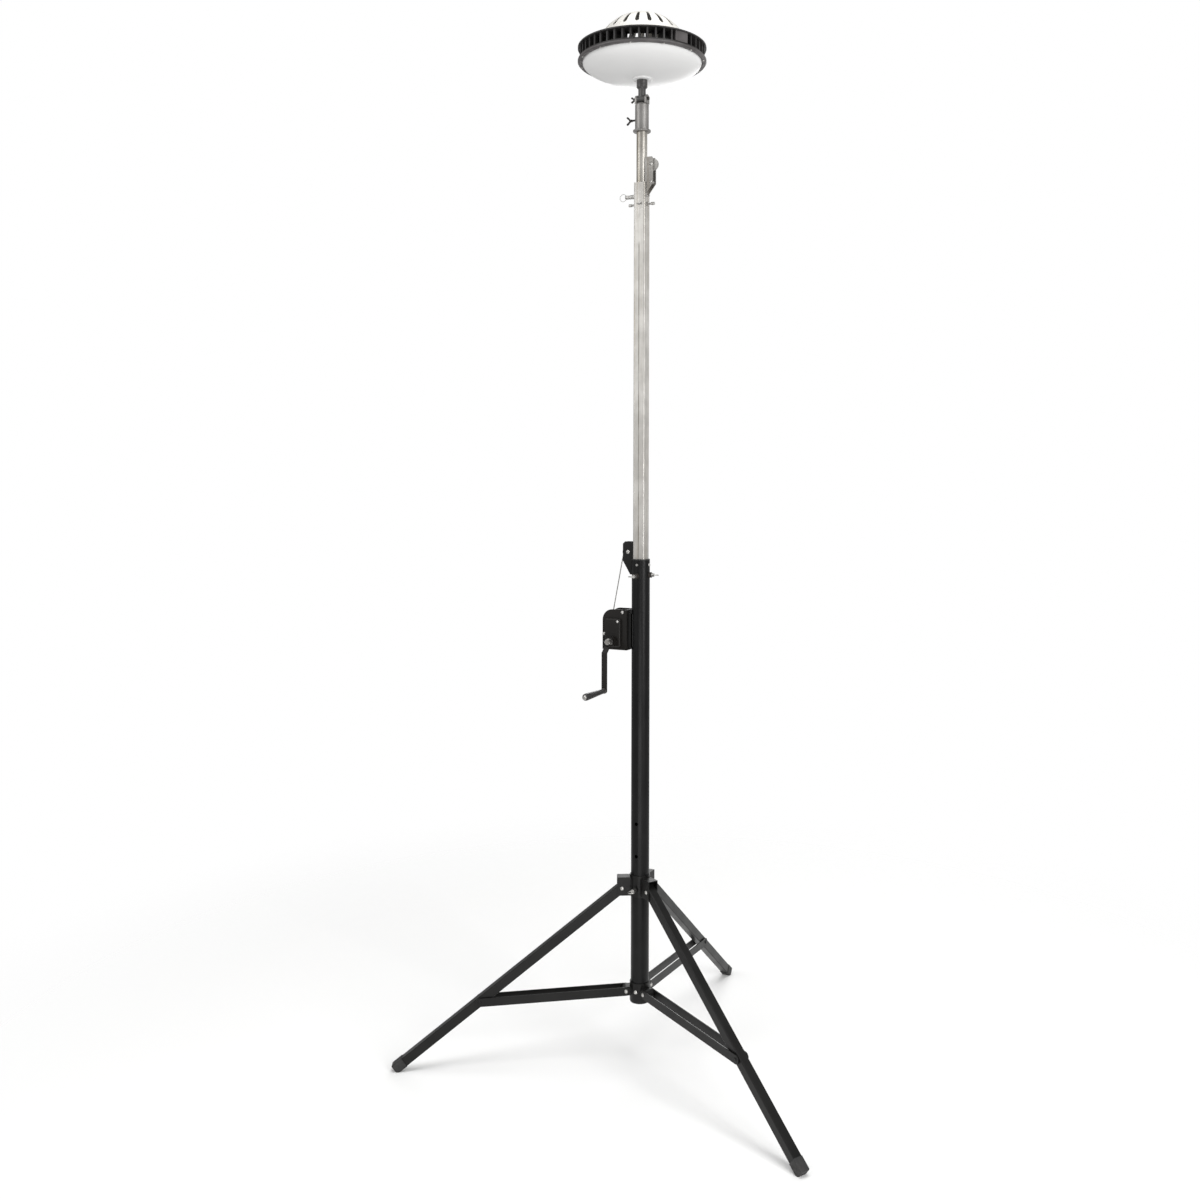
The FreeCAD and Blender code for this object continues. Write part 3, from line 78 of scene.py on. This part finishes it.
class Recipe:
    """One material, built up from its nodes."""

    def __init__(self, name):
        self.material = bpy.data.materials.new(name)
        self.material.use_nodes = True
        self.nodes = self.material.node_tree.nodes
        self.links = self.material.node_tree.links
        self.shader = self.nodes["Principled BSDF"]
        self.place = self.node("TexCoord").outputs["Object"]

    def node(self, kind, **values):
        """A shader node; keyword names are attributes, or inputs where there is none."""
        made = self.nodes.new(f"ShaderNode{kind}")
        for name, value in values.items():
            if hasattr(made, name):
                setattr(made, name, value)
            else:
                made.inputs[name.replace("_", " ").title()].default_value = value
        return made

    def set(self, **values):
        """Constant values on the shader's own sockets."""
        for name, value in values.items():
            socket = name.replace("_", " ").title().replace("Ior", "IOR")
            self.shader.inputs[socket].default_value = value

    def join(self, output, target):
        self.links.new(output, target)

    def stretched(self, x, y, z):
        """Object coordinates scaled apart, for grain that runs one way."""
        mapping = self.node("Mapping")
        mapping.inputs["Scale"].default_value = (x, y, z)
        self.join(self.place, mapping.inputs["Vector"])
        return mapping.outputs["Vector"]

    def noise(self, scale, detail=3.0, roughness=0.5, at=None):
        made = self.node("TexNoise", Scale=scale, Detail=detail, Roughness=roughness)
        self.join(at or self.place, made.inputs["Vector"])
        return made.outputs["Fac"]

    def remap(self, value, low, high, to_low=0.0, to_high=1.0):
        """One range of values eased into another."""
        made = self.node("MapRange", interpolation_type="SMOOTHSTEP", From_Min=low,
                         From_Max=high, To_Min=to_low, To_Max=to_high)
        self.join(value, made.inputs["Value"])
        return made.outputs["Result"]

    def mottle(self, scale, detail=3.0, to_low=0.0, to_high=1.0):
        """Cloudy noise with its usual span stretched between two values."""
        return self.remap(self.noise(scale, detail), NOISE_LOW, NOISE_HIGH, to_low, to_high)

    def maths(self, operation, first, second):
        made = self.node("Math", operation=operation)
        for socket, value in zip(made.inputs, (first, second)):
            if isinstance(value, (int, float)):
                socket.default_value = value
            else:
                self.join(value, socket)
        return made.outputs["Value"]

    def axes(self):
        """The object coordinates as three separate values."""
        made = self.node("SeparateXYZ")
        self.join(self.place, made.inputs["Vector"])
        return made.outputs["X"], made.outputs["Y"], made.outputs["Z"]

    def blend(self, amount, first, second):
        """A colour between two colours or colour outputs."""
        made = self.node("Mix", data_type="RGBA")
        self.join(amount, made.inputs["Factor"])
        for socket, value in zip((made.inputs[6], made.inputs[7]), (first, second)):
            if isinstance(value, tuple):
                socket.default_value = (*value, 1.0)
            else:
                self.join(value, socket)
        return made.outputs[2]

    def colour(self, output):
        self.join(output, self.shader.inputs["Base Color"])
        return self

    def rough(self, output):
        self.join(output, self.shader.inputs["Roughness"])
        return self

    def relief(self, height, depth, distance=0.0002, soften=0.0004):
        """Surface relief on top of edges that are softened by a small radius."""
        bump = self.node("Bump", Strength=depth, Distance=distance)
        self.join(height, bump.inputs["Height"])
        if soften:
            edge = self.node("Bevel", samples=4, Radius=soften)
            self.join(edge.outputs["Normal"], bump.inputs["Normal"])
        self.join(bump.outputs["Normal"], self.shader.inputs["Normal"])
        return self


def powder_coat(name, dark, light, gloss=0.36, scuffs=0.0, shine=0.35, peel=0.16):
    """Sprayed paint with a fine orange peel, cloudy sheen and dusty scuffs."""
    paint = Recipe(name)
    paint.set(specular_ior_level=shine)
    base = paint.blend(paint.remap(paint.noise(9.0, 4.0), 0.35, 0.7), dark, light)
    rubs = paint.noise(1.0, 6.0, 0.7, at=paint.stretched(260, 260, 22))
    dust = paint.remap(rubs, 0.62, 0.80, 0.0, scuffs)
    paint.colour(paint.blend(dust, base, (0.20, 0.19, 0.18)))
    uneven = paint.mottle(14, 4.0, gloss - 0.03, gloss + 0.05)
    paint.rough(paint.maths("ADD", uneven, paint.maths("MULTIPLY", dust, 0.3)))
    return paint.relief(paint.noise(1100, 2.0), peel, 0.00010)


def bare_metal(name, dark, light, stain, grain=(700, 700, 9), gloss=0.34, stains=0.5):
    """Galvanised or drawn metal: fine lengthwise grain, cloudy zinc and brown streaks."""
    metal = Recipe(name)
    metal.set(metallic=0.82)
    lines = metal.noise(1.0, 5.0, 0.65, at=metal.stretched(*grain))
    clouds = metal.remap(metal.noise(16, 4.0, 0.55), NOISE_LOW, NOISE_HIGH)
    base = metal.blend(clouds, dark, light)
    base = metal.blend(metal.remap(lines, 0.30, 0.72, 0.0, 0.45), base, dark)
    long_streaks = metal.noise(1.0, 4.0, 0.6, at=metal.stretched(95, 95, 1.6))
    base = metal.blend(metal.remap(long_streaks, 0.50, 0.72, 0.0, stains), base, stain)
    metal.colour(base)
    metal.rough(metal.remap(lines, 0.25, 0.75, gloss - 0.08, gloss + 0.14))
    return metal.relief(lines, 0.22, 0.00008)


def plated_steel(name, tint, gloss=0.22):
    """Bright zinc plate on bolts and pins, with cloudy passivation."""
    plate = Recipe(name)
    plate.set(metallic=1.0)
    shade = tuple(value * 0.72 for value in tint)
    plate.colour(plate.blend(plate.remap(plate.noise(150, 4.0), 0.35, 0.7), tint, shade))
    plate.rough(plate.mottle(420, 3.0, gloss, gloss + 0.16))
    return plate.relief(plate.noise(900, 2.0), 0.15, 0.00006, 0.0003)


def cast_metal(name, dark, light, gloss=0.42, grain=520):
    """Die-cast alloy under thin satin paint, with a faint sandy skin."""
    cast = Recipe(name)
    cast.colour(cast.blend(cast.mottle(24, 5.0), dark, light))
    cast.set(metallic=0.25)
    cast.rough(cast.mottle(60, 4.0, gloss - 0.08, gloss + 0.12))
    return cast.relief(cast.noise(grain, 3.0, 0.6), 0.35, 0.00015, 0.0006)


def moulded(name, dark, light, gloss=0.55, grain=750, depth=0.4):
    """Moulded rubber or plastic with a spark-eroded texture."""
    skin = Recipe(name)
    skin.colour(skin.blend(skin.mottle(30, 4.0), dark, light))
    skin.rough(skin.mottle(90, 4.0, gloss - 0.08, gloss + 0.12))
    return skin.relief(skin.noise(grain, 3.0, 0.7), depth, 0.00018, 0.0006)


def opal_lens():
    """Milky moulded plastic with a faint gloss."""
    lens = Recipe("opal_lens")
    lens.colour(lens.blend(lens.mottle(3.0, 2.0), (0.79, 0.787, 0.78), (0.81, 0.807, 0.80)))
    lens.set(specular_ior_level=0.15)
    lens.rough(lens.mottle(12, 2.0, 0.30, 0.34))
    return lens.relief(lens.noise(900, 2.0), 0.03, 0.00004, 0)


def white_enamel():
    """Off-white sprayed enamel with small smudges of grime."""
    enamel = Recipe("white_enamel")
    clouds = enamel.remap(enamel.noise(14, 5.0), 0.35, 0.7)
    base = enamel.blend(clouds, (0.58, 0.565, 0.53), (0.64, 0.625, 0.59))
    grime = enamel.remap(enamel.noise(55, 6.0, 0.7), 0.60, 0.82, 0.0, 0.30)
    enamel.colour(enamel.blend(grime, base, (0.50, 0.47, 0.41)))
    enamel.rough(enamel.mottle(45, 4.0, 0.30, 0.46))
    return enamel.relief(enamel.noise(800, 2.0), 0.12, 0.0001)


def worn_galvanised():
    """The middle tube: galvanised, with a dark line that the lock pin has worn in its front."""
    recipe = bare_metal("worn_galvanised", (0.44, 0.425, 0.40), (0.60, 0.585, 0.555),
                        (0.36, 0.30, 0.22), gloss=0.44, stains=0.6)
    x, y, z = recipe.axes()
    across = recipe.maths("ABSOLUTE", recipe.maths("SUBTRACT", x, mast.x), 0)
    narrow = recipe.remap(across, 0.6 * MM, 2.2 * MM, 1.0, 0.0)
    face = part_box("middle_tube")[0].y
    front = recipe.remap(y, face + 0.4 * MM, face + 1.2 * MM, 1.0, 0.0)
    height = recipe.remap(z, TRACK_TOP - 20 * MM, TRACK_TOP, 1.0, 0.0)
    patchy = recipe.remap(recipe.noise(1.0, 4.0, at=recipe.stretched(40, 40, 9)), 0.3, 0.6,
                          0.45, 0.95)
    track = recipe.maths("MULTIPLY", recipe.maths("MULTIPLY", narrow, front),
                         recipe.maths("MULTIPLY", height, patchy))
    old = recipe.shader.inputs["Base Color"].links[0].from_socket
    recipe.colour(recipe.blend(track, old, (0.13, 0.115, 0.095)))
    return recipe


def wound_wire():
    """Steel rope with dark grease between its wires."""
    rope = Recipe("steel_rope")
    rope.set(metallic=0.9)
    clouds = rope.remap(rope.noise(700, 4.0), 0.35, 0.68)
    rope.colour(rope.blend(clouds, (0.46, 0.45, 0.43), (0.17, 0.165, 0.155)))
    rope.rough(rope.mottle(260, 3.0, 0.28, 0.5))
    return rope.relief(rope.noise(1600, 2.0), 0.3, 0.00006, 0)


def light_board():
    """White solder resist with a printed grid of light chips."""
    board = Recipe("light_board")
    cells = board.node("TexVoronoi", Scale=95.0)
    board.join(board.place, cells.inputs["Vector"])
    chips = board.remap(cells.outputs["Distance"], 0.20, 0.26, 1.0, 0.0)
    board.colour(board.blend(chips, (0.80, 0.81, 0.78), (0.80, 0.66, 0.22)))
    board.rough(board.mottle(80, 3.0, 0.40, 0.55))
    return board.relief(chips, 0.5, 0.0004, 0)


BLACK = powder_coat("black_powder_coat", (0.0045, 0.0043, 0.0041), (0.008, 0.0077, 0.0073),
                    0.34, 0.05, shine=0.24).material
TUBE_BLACK = powder_coat("black_tube_coat", (0.0035, 0.0035, 0.0036), (0.0060, 0.0060, 0.0062),
                         0.34, 0.03, shine=0.20).material
WINCH_BLACK = powder_coat("winch_black", (0.008, 0.0070, 0.0062), (0.012, 0.0106, 0.0094),
                          0.38, 0.03, shine=0.24, peel=0.06).material
DARK_FITTING = powder_coat("dark_fitting", (0.014, 0.012, 0.010), (0.028, 0.024, 0.021),
                           0.42, 0.10).material
MIDDLE = worn_galvanised().material
GALVANISED = bare_metal("galvanised_plate", (0.25, 0.24, 0.225), (0.37, 0.36, 0.34),
                        (0.20, 0.165, 0.12), (300, 300, 120), 0.48, 0.45).material
INNER = bare_metal("drawn_inner_tube", (0.40, 0.38, 0.345), (0.60, 0.58, 0.54),
                   (0.27, 0.23, 0.16), (420, 420, 4), 0.42, 0.85).material
SLEEVE = bare_metal("brushed_sleeve", (0.30, 0.29, 0.28), (0.42, 0.41, 0.395),
                    (0.25, 0.23, 0.20), (1300, 1300, 16), 0.46, 0.30).material
ZINC = plated_steel("bright_zinc", (0.52, 0.51, 0.49), 0.26).material
GEAR = plated_steel("oiled_gear_steel", (0.42, 0.40, 0.37), 0.30).material
BRASS = plated_steel("turned_brass", (0.72, 0.53, 0.24), 0.26).material
STEM = cast_metal("satin_stem", (0.060, 0.058, 0.057), (0.095, 0.092, 0.090), 0.30).material
BEZEL = cast_metal("cast_bezel", (0.075, 0.070, 0.070), (0.115, 0.107, 0.106), 0.42).material
HEATSINK = cast_metal("cast_heatsink", (0.024, 0.023, 0.0225), (0.042, 0.040, 0.039),
                      0.45, 380).material
OPAL = opal_lens().material
ENAMEL = white_enamel().material
RUBBER = moulded("black_rubber", (0.012, 0.012, 0.012), (0.022, 0.021, 0.020), 0.62).material
GRIP = moulded("grip_plastic", (0.010, 0.0095, 0.009), (0.017, 0.016, 0.015), 0.42, 300,
               0.12).material
NYLON = moulded("black_nylon", (0.020, 0.020, 0.020), (0.035, 0.034, 0.033), 0.48).material
PALE_NYLON = moulded("pale_pulley_nylon", (0.30, 0.29, 0.275), (0.40, 0.39, 0.37), 0.42,
                     420, 0.2).material
ROPE = wound_wire().material
BOARD = light_board().material

DRESSING = {
    TUBE_BLACK: ["base_tube"],
    BLACK: ["lower_collar", "upper_collar", "base_pulley_bracket", "winch_bracket"]
    + [f"{part}_{number}" for part in ("leg_tube", "brace") for number in LEG_ANGLES],
    WINCH_BLACK: ["winch_frame", "winch_gear_cover", "crank_arm"],
    DARK_FITTING: ["lock_housings", "sleeve_wing_screw", "tilt_wing_screw"],
    MIDDLE: ["middle_tube"],
    GALVANISED: ["head_bracket"],
    INNER: ["upper_tube"],
    SLEEVE: ["light_sleeve"],
    ZINC: ["lower_collar_bolts", "upper_collar_bolts", "base_head_bolts", "head_fasteners",
           "middle_fasteners", "winch_bolts", "crank_hub_nut", "grip_bolt", "bezel_screws",
           "front_lock_pin", "side_lock_pin", "collar_lock_pin", "middle_lock_pin",
           "pawl_spring"],
    GEAR: ["winch_drum", "drum_gear", "crank_shaft", "ratchet_wheel", "ratchet_pawl"],
    BRASS: ["winch_shaft_bushes"],
    STEM: ["lamp_stem"],
    OPAL: ["lamp_lens", "lens_flange"],
    ENAMEL: ["lamp_dome", "lamp_driver"],
    BEZEL: ["lamp_bezel", "terminal_box"],
    HEATSINK: ["lamp_fin_ring"],
    RUBBER: [f"leg_foot_{number}" for number in LEG_ANGLES],
    GRIP: ["crank_grip"],
    NYLON: ["base_top_bush", "middle_bottom_plug", "base_pulley"],
    PALE_NYLON: ["head_pulley"],
    ROPE: ["lift_cable", "cable_turns"],
    BOARD: ["led_board"],
}


def dress_nodes():
    for material, names in DRESSING.items():
        for name in names:
            for slot in nodes[name].material_slots:
                slot.material = material


# ------------------------------------------------------------------ mesh pieces

WELD_STEP = 0.9 * MM
ROPE_LAY = 26 * MM
ROPE_STEP = 2.5 * MM
ROPE_RADIUS = 1.75 * MM
COIL_GAP = 0.3 * MM
COIL_TURNS = 8
TURN_STEPS = 48
PULLEY_STEPS = 40
THREAD_PITCH = 1.1 * MM
THREAD_RADIUS = 2.9 * MM

# Weld seams in millimetres: out from the mast, half the spread, lower and upper end.
UPPER_COLLAR_SEAM = (29.2, 18.6, 554, 610)
LOWER_COLLAR_SEAM = (28.8, 17.4, 227, 251)
WINCH_SEAM = (-17.2, 25.4, 1366, 1475)
BASE_PULLEY_SEAM = (-28.4, 11.6, 1606, 1650)
HEAD_PULLEY_SEAM = (20.9, 13.6, 2866, 2898)

# Screw threads in millimetres about the mast: both ends in x, and the height.
GUIDE_THREAD = (26, 35, 2829)
SLEEVE_THREAD = (-36, -24, 3112)


def piece(name, mesh_data, body, material):
    """A mesh object in the row frame that rides on a body."""
    vertices, faces = mesh_data
    mesh = bpy.data.meshes.new(name)
    mesh.from_pydata([tuple(vertex) for vertex in vertices], [], faces)
    mesh.validate()
    mesh.materials.append(material)
    made = bpy.data.objects.new(name, mesh)
    bpy.context.scene.collection.objects.link(made)
    for polygon in mesh.polygons:
        polygon.use_smooth = True
    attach(made, body)
    return made


def carried_axes(path):
    """Two directions square to a path at each of its points, carried along without twist."""
    across = None
    for index in range(len(path)):
        ahead = path[min(index + 1, len(path) - 1)]
        behind = path[max(index - 1, 0)]
        along = (ahead - behind).normalized()
        if across is None:
            across = along.orthogonal().normalized()
        across = (across - along * across.dot(along)).normalized()
        yield across, along.cross(across)


def swung(across, other, turn):
    """A direction at an angle from one axis towards another."""
    return across * math.cos(turn) + other * math.sin(turn)


def sweep(path, radius, sides):
    """Vertices and faces of a closed tube along a list of points; radius may be a function."""
    vertices, faces = [], []
    for index, (across, other) in enumerate(carried_axes(path)):
        size = radius(index / (len(path) - 1)) if callable(radius) else radius
        for side in range(sides):
            turn = 2 * math.pi * side / sides
            vertices.append(path[index] + swung(across, other, turn) * size)
    for ring in range(len(path) - 1):
        for side in range(sides):
            after = (side + 1) % sides
            faces.append((ring * sides + side, ring * sides + after,
                          (ring + 1) * sides + after, (ring + 1) * sides + side))
    faces.append(tuple(reversed(range(sides))))
    last = (len(path) - 1) * sides
    faces.append(tuple(range(last, last + sides)))
    return vertices, faces


def merged(parts):
    """Several (vertices, faces) pairs as one."""
    vertices, faces = [], []
    for some_vertices, some_faces in parts:
        start = len(vertices)
        vertices += some_vertices
        faces += [tuple(start + index for index in face) for face in some_faces]
    return vertices, faces


def line(start, end, step):
    count = max(2, round((end - start).length / step) + 1)
    return [start.lerp(end, index / (count - 1)) for index in range(count)]


def weld(start, end, size, seed):
    """A weld bead: overlapping ripples of slightly uneven width."""
    chance = random.Random(seed)
    wobble = [point + Vector([chance.uniform(-1, 1) * size * 0.10 for _ in range(3)])
              for point in line(start, end, WELD_STEP)]
    ripples = (end - start).length / (size * 1.5)

    def width(part):
        crest = abs(math.sin(math.pi * part * ripples))
        ends = min(1.0, 12 * min(part, 1 - part) + 0.35)
        return size * (0.78 + 0.22 * crest) * ends

    return sweep(wobble, width, 8)


def rope_strands(path, radius):
    """Six strands laid round a core strand."""
    strand = radius / 3
    parts = [sweep(path, strand, 6)]
    travelled = [0.0]
    for before, after in zip(path, path[1:]):
        travelled.append(travelled[-1] + (after - before).length)
    for number in range(6):
        twisted = []
        for index, (across, other) in enumerate(carried_axes(path)):
            turn = 2 * math.pi * (number / 6 + travelled[index] / ROPE_LAY)
            twisted.append(path[index] + swung(across, other, turn) * strand * 2)
        parts.append(sweep(twisted, strand, 7))
    return merged(parts)


def winch_cable():
    """The lift rope: up inside the tube, over the pulley and down to the drum."""
    low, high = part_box("lift_cable")
    coil_low, coil_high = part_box("cable_turns")
    radius, y = (high.y - low.y) / 2, (low.y + high.y) / 2
    pulley, drum = centre("base_pulley"), centre("winch_drum")
    pulley.y = drum.y = y
    bend = high.x - radius - pulley.x
    drum_bend = (coil_high.x - coil_low.x) / 2 + radius + COIL_GAP
    along = (drum - pulley).normalized()
    left = Vector((along.z, 0, -along.x))
    lean = (bend - drum_bend) / (drum - pulley).length
    normal = along * lean + left * math.sqrt(1 - lean * lean)
    last = math.atan2(normal.z, normal.x)
    arc = [pulley + swung(EAST, UP, last * part / PULLEY_STEPS) * bend
           for part in range(PULLEY_STEPS + 1)]
    cable = nodes["lift_cable"]
    corners = [cable.matrix_world @ vertex.co for vertex in cable.data.vertices]
    inner_end = min(corner.z for corner in corners if corner.x > pulley.x)
    inner = line(Vector((arc[0].x, y, inner_end)), arc[0], ROPE_STEP)
    outer = line(arc[-1], drum + normal * drum_bend, ROPE_STEP)
    strands = rope_strands(inner[:-1] + arc + outer[1:], radius)
    rope = piece("lift_rope", strands, "base", ROPE)
    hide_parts("lift_cable")


def drum_winding():
    """The rope wound on the drum in one close layer."""
    low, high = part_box("cable_turns")
    coil = (high.x - low.x) / 2 - ROPE_RADIUS
    middle = (low + high) / 2
    start, end = low.y + ROPE_RADIUS, high.y - ROPE_RADIUS
    steps = COIL_TURNS * TURN_STEPS
    path = []
    for step in range(steps + 1):
        middle.y = start + (end - start) * step / steps
        path.append(middle + swung(EAST, UP, 2 * math.pi * step / TURN_STEPS) * coil)
    strands = rope_strands(path, ROPE_RADIUS)
    winding = piece("wound_rope", strands, "winch_drum", ROPE)
    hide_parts("cable_turns")


def weld_rows(name, seams, body, material, size=1.9 * MM):
    """A row of weld beads, each from a seam's (x, y, low z, high z) about the mast."""
    beads = [weld(on_mast(x, y, low), on_mast(x, y, high), size, seed)
             for seed, (x, y, low, high) in enumerate(seams)]
    piece(name, merged(beads), body, material)


def both_sides(radial, sideways, low, high, degrees=0):
    """A seam on both sides of a bracket that points out from the mast at an angle."""
    turn = math.radians(degrees)
    seams = []
    for side in (-1, 1):
        x = radial * math.cos(turn) - side * sideways * math.sin(turn)
        y = radial * math.sin(turn) + side * sideways * math.cos(turn)
        seams.append((x, y, low, high))
    return seams


def around_legs(seam):
    return [placed for degrees in LEG_ANGLES.values() for placed in both_sides(*seam, degrees)]


def welds():
    weld_rows("upper_collar_welds", around_legs(UPPER_COLLAR_SEAM), "collar",
              BLACK)
    weld_rows("lower_collar_welds", around_legs(LOWER_COLLAR_SEAM), "base",
              BLACK)
    weld_rows("base_bracket_welds", both_sides(*WINCH_SEAM) + both_sides(*BASE_PULLEY_SEAM),
              "base", BLACK)
    weld_rows("head_bracket_welds", both_sides(*HEAD_PULLEY_SEAM), "middle_section",
              GALVANISED, 1.5 * MM)


def thread(near, far, height):
    """A helical thread ridge round a screw's shank that runs along x."""
    start, end = on_mast(near, 0, height), on_mast(far, 0, height)
    along = (end - start).normalized()
    across = along.orthogonal().normalized()
    other = along.cross(across)
    turns = (end - start).length / THREAD_PITCH
    steps = round(turns * 18)
    path = []
    for step in range(steps + 1):
        turn = 2 * math.pi * turns * step / steps
        path.append(start.lerp(end, step / steps) + swung(across, other, turn) * THREAD_RADIUS)
    return sweep(path, THREAD_PITCH * 0.33, 5)


def threads():
    near, far, height = GUIDE_THREAD
    guides = merged([thread(side * near, side * far, height) for side in (-1, 1)])
    piece("guide_screw_threads", guides, "middle_section", ZINC)
    piece("sleeve_screw_thread", thread(*SLEEVE_THREAD), "sleeve_wing",
          DARK_FITTING)


# ------------------------------------------------------------------ stage, light, camera

FLOOR_RADIUS = 3.2
FADE_START = 1.1
ROOM_LIGHT = 0.42

# Each softbox: place, aim, size and power.
SOFTBOXES = {
    "key_softbox": ((-3.4, -4.4, 3.6), (0, -0.2, 1.9), (2.0, 3.4), 88),
    "fill_softbox": ((4.8, -2.4, 2.6), (0, -0.2, 1.8), (1.6, 3.4), 165),
    "top_softbox": ((0.4, -0.6, 6.2), (0, -0.2, 0), (3.6, 3.6), 150),
    "rim_softbox": ((-1.5, 4.8, 3.6), (0, -0.2, 1.8), (2.4, 3.0), 65),
    "side_softbox": ((1.7, 4.6, 3.0), (0, -0.2, 1.9), (2.4, 3.0), 26),
    "low_softbox": ((1.0, -2.6, 0.5), (0, -0.2, 3.3), (1.4, 1.4), 20),
}


def area_light(name, place, aim, size, power):
    data = bpy.data.lights.new(name, "AREA")
    data.shape = "RECTANGLE"
    data.size, data.size_y = size
    data.energy = power
    lamp = bpy.data.objects.new(name, data)
    bpy.context.scene.collection.objects.link(lamp)
    lamp.location = place
    lamp.rotation_euler = (Vector(aim) - Vector(place)).to_track_quat("-Z", "Y").to_euler()


def fading_floor():
    """A pale sweep: paper near the stand that melts into the backdrop further out."""
    bpy.ops.mesh.primitive_circle_add(vertices=96, radius=FLOOR_RADIUS, fill_type="NGON")
    floor = bpy.context.object
    floor.name = "studio_floor"
    paper = Recipe("floor_paper")
    paper.colour(paper.blend(paper.mottle(260), (0.91, 0.91, 0.905), (0.92, 0.92, 0.915)))
    paper.set(roughness=0.85, specular_ior_level=0.2)
    x, y, z = paper.axes()
    distance = paper.maths("SQRT", paper.maths("ADD", paper.maths("MULTIPLY", x, x),
                                               paper.maths("MULTIPLY", y, y)), 0)
    paper.join(paper.remap(distance, FADE_START, 0.92 * FLOOR_RADIUS, 1.0, 0.0),
               paper.shader.inputs["Alpha"])
    floor.data.materials.append(paper.material)


def studio():
    """Even room light, a white backdrop for the camera alone, and the softboxes."""
    fading_floor()
    world = bpy.data.worlds.new("studio_world")
    world.use_nodes = True
    tree = world.node_tree
    room = tree.nodes["Background"]
    room.inputs["Color"].default_value = (1.0, 1.0, 1.0, 1.0)
    room.inputs["Strength"].default_value = ROOM_LIGHT
    backdrop = tree.nodes.new("ShaderNodeBackground")
    backdrop.inputs["Color"].default_value = (1.0, 1.0, 1.0, 1.0)
    backdrop.inputs["Strength"].default_value = 1.0
    either = tree.nodes.new("ShaderNodeMixShader")
    tree.links.new(tree.nodes.new("ShaderNodeLightPath").outputs["Is Camera Ray"],
                   either.inputs["Fac"])
    tree.links.new(room.outputs["Background"], either.inputs[1])
    tree.links.new(backdrop.outputs["Background"], either.inputs[2])
    tree.links.new(either.outputs["Shader"], tree.nodes["World Output"].inputs["Surface"])
    bpy.context.scene.world = world
    bpy.context.scene.view_settings.view_transform = "Standard"
    for name, setting in SOFTBOXES.items():
        area_light(name, *setting)


def camera():
    """A photographer's view from the winch's front quarter, with a rising lens."""
    azimuth, pitch, roll = (math.radians(degrees) for degrees in (25.43, 90.55, -0.15))
    distance, height = 4.00, 1.911
    data = bpy.data.cameras.new("photo_camera")
    data.sensor_width = 36.0
    data.lens = 36.26
    data.shift_x = -0.0342
    data.shift_y = -0.1085
    viewer = bpy.data.objects.new("photo_camera", data)
    bpy.context.scene.collection.objects.link(viewer)
    viewer.location = (mast.x + distance * math.sin(azimuth),
                       mast.y - distance * math.cos(azimuth), height)
    viewer.rotation_euler = (pitch, roll, azimuth)
    bpy.context.scene.camera = viewer


dress_nodes()
camera()
studio()
winch_cable()
drum_winding()
welds()
threads()
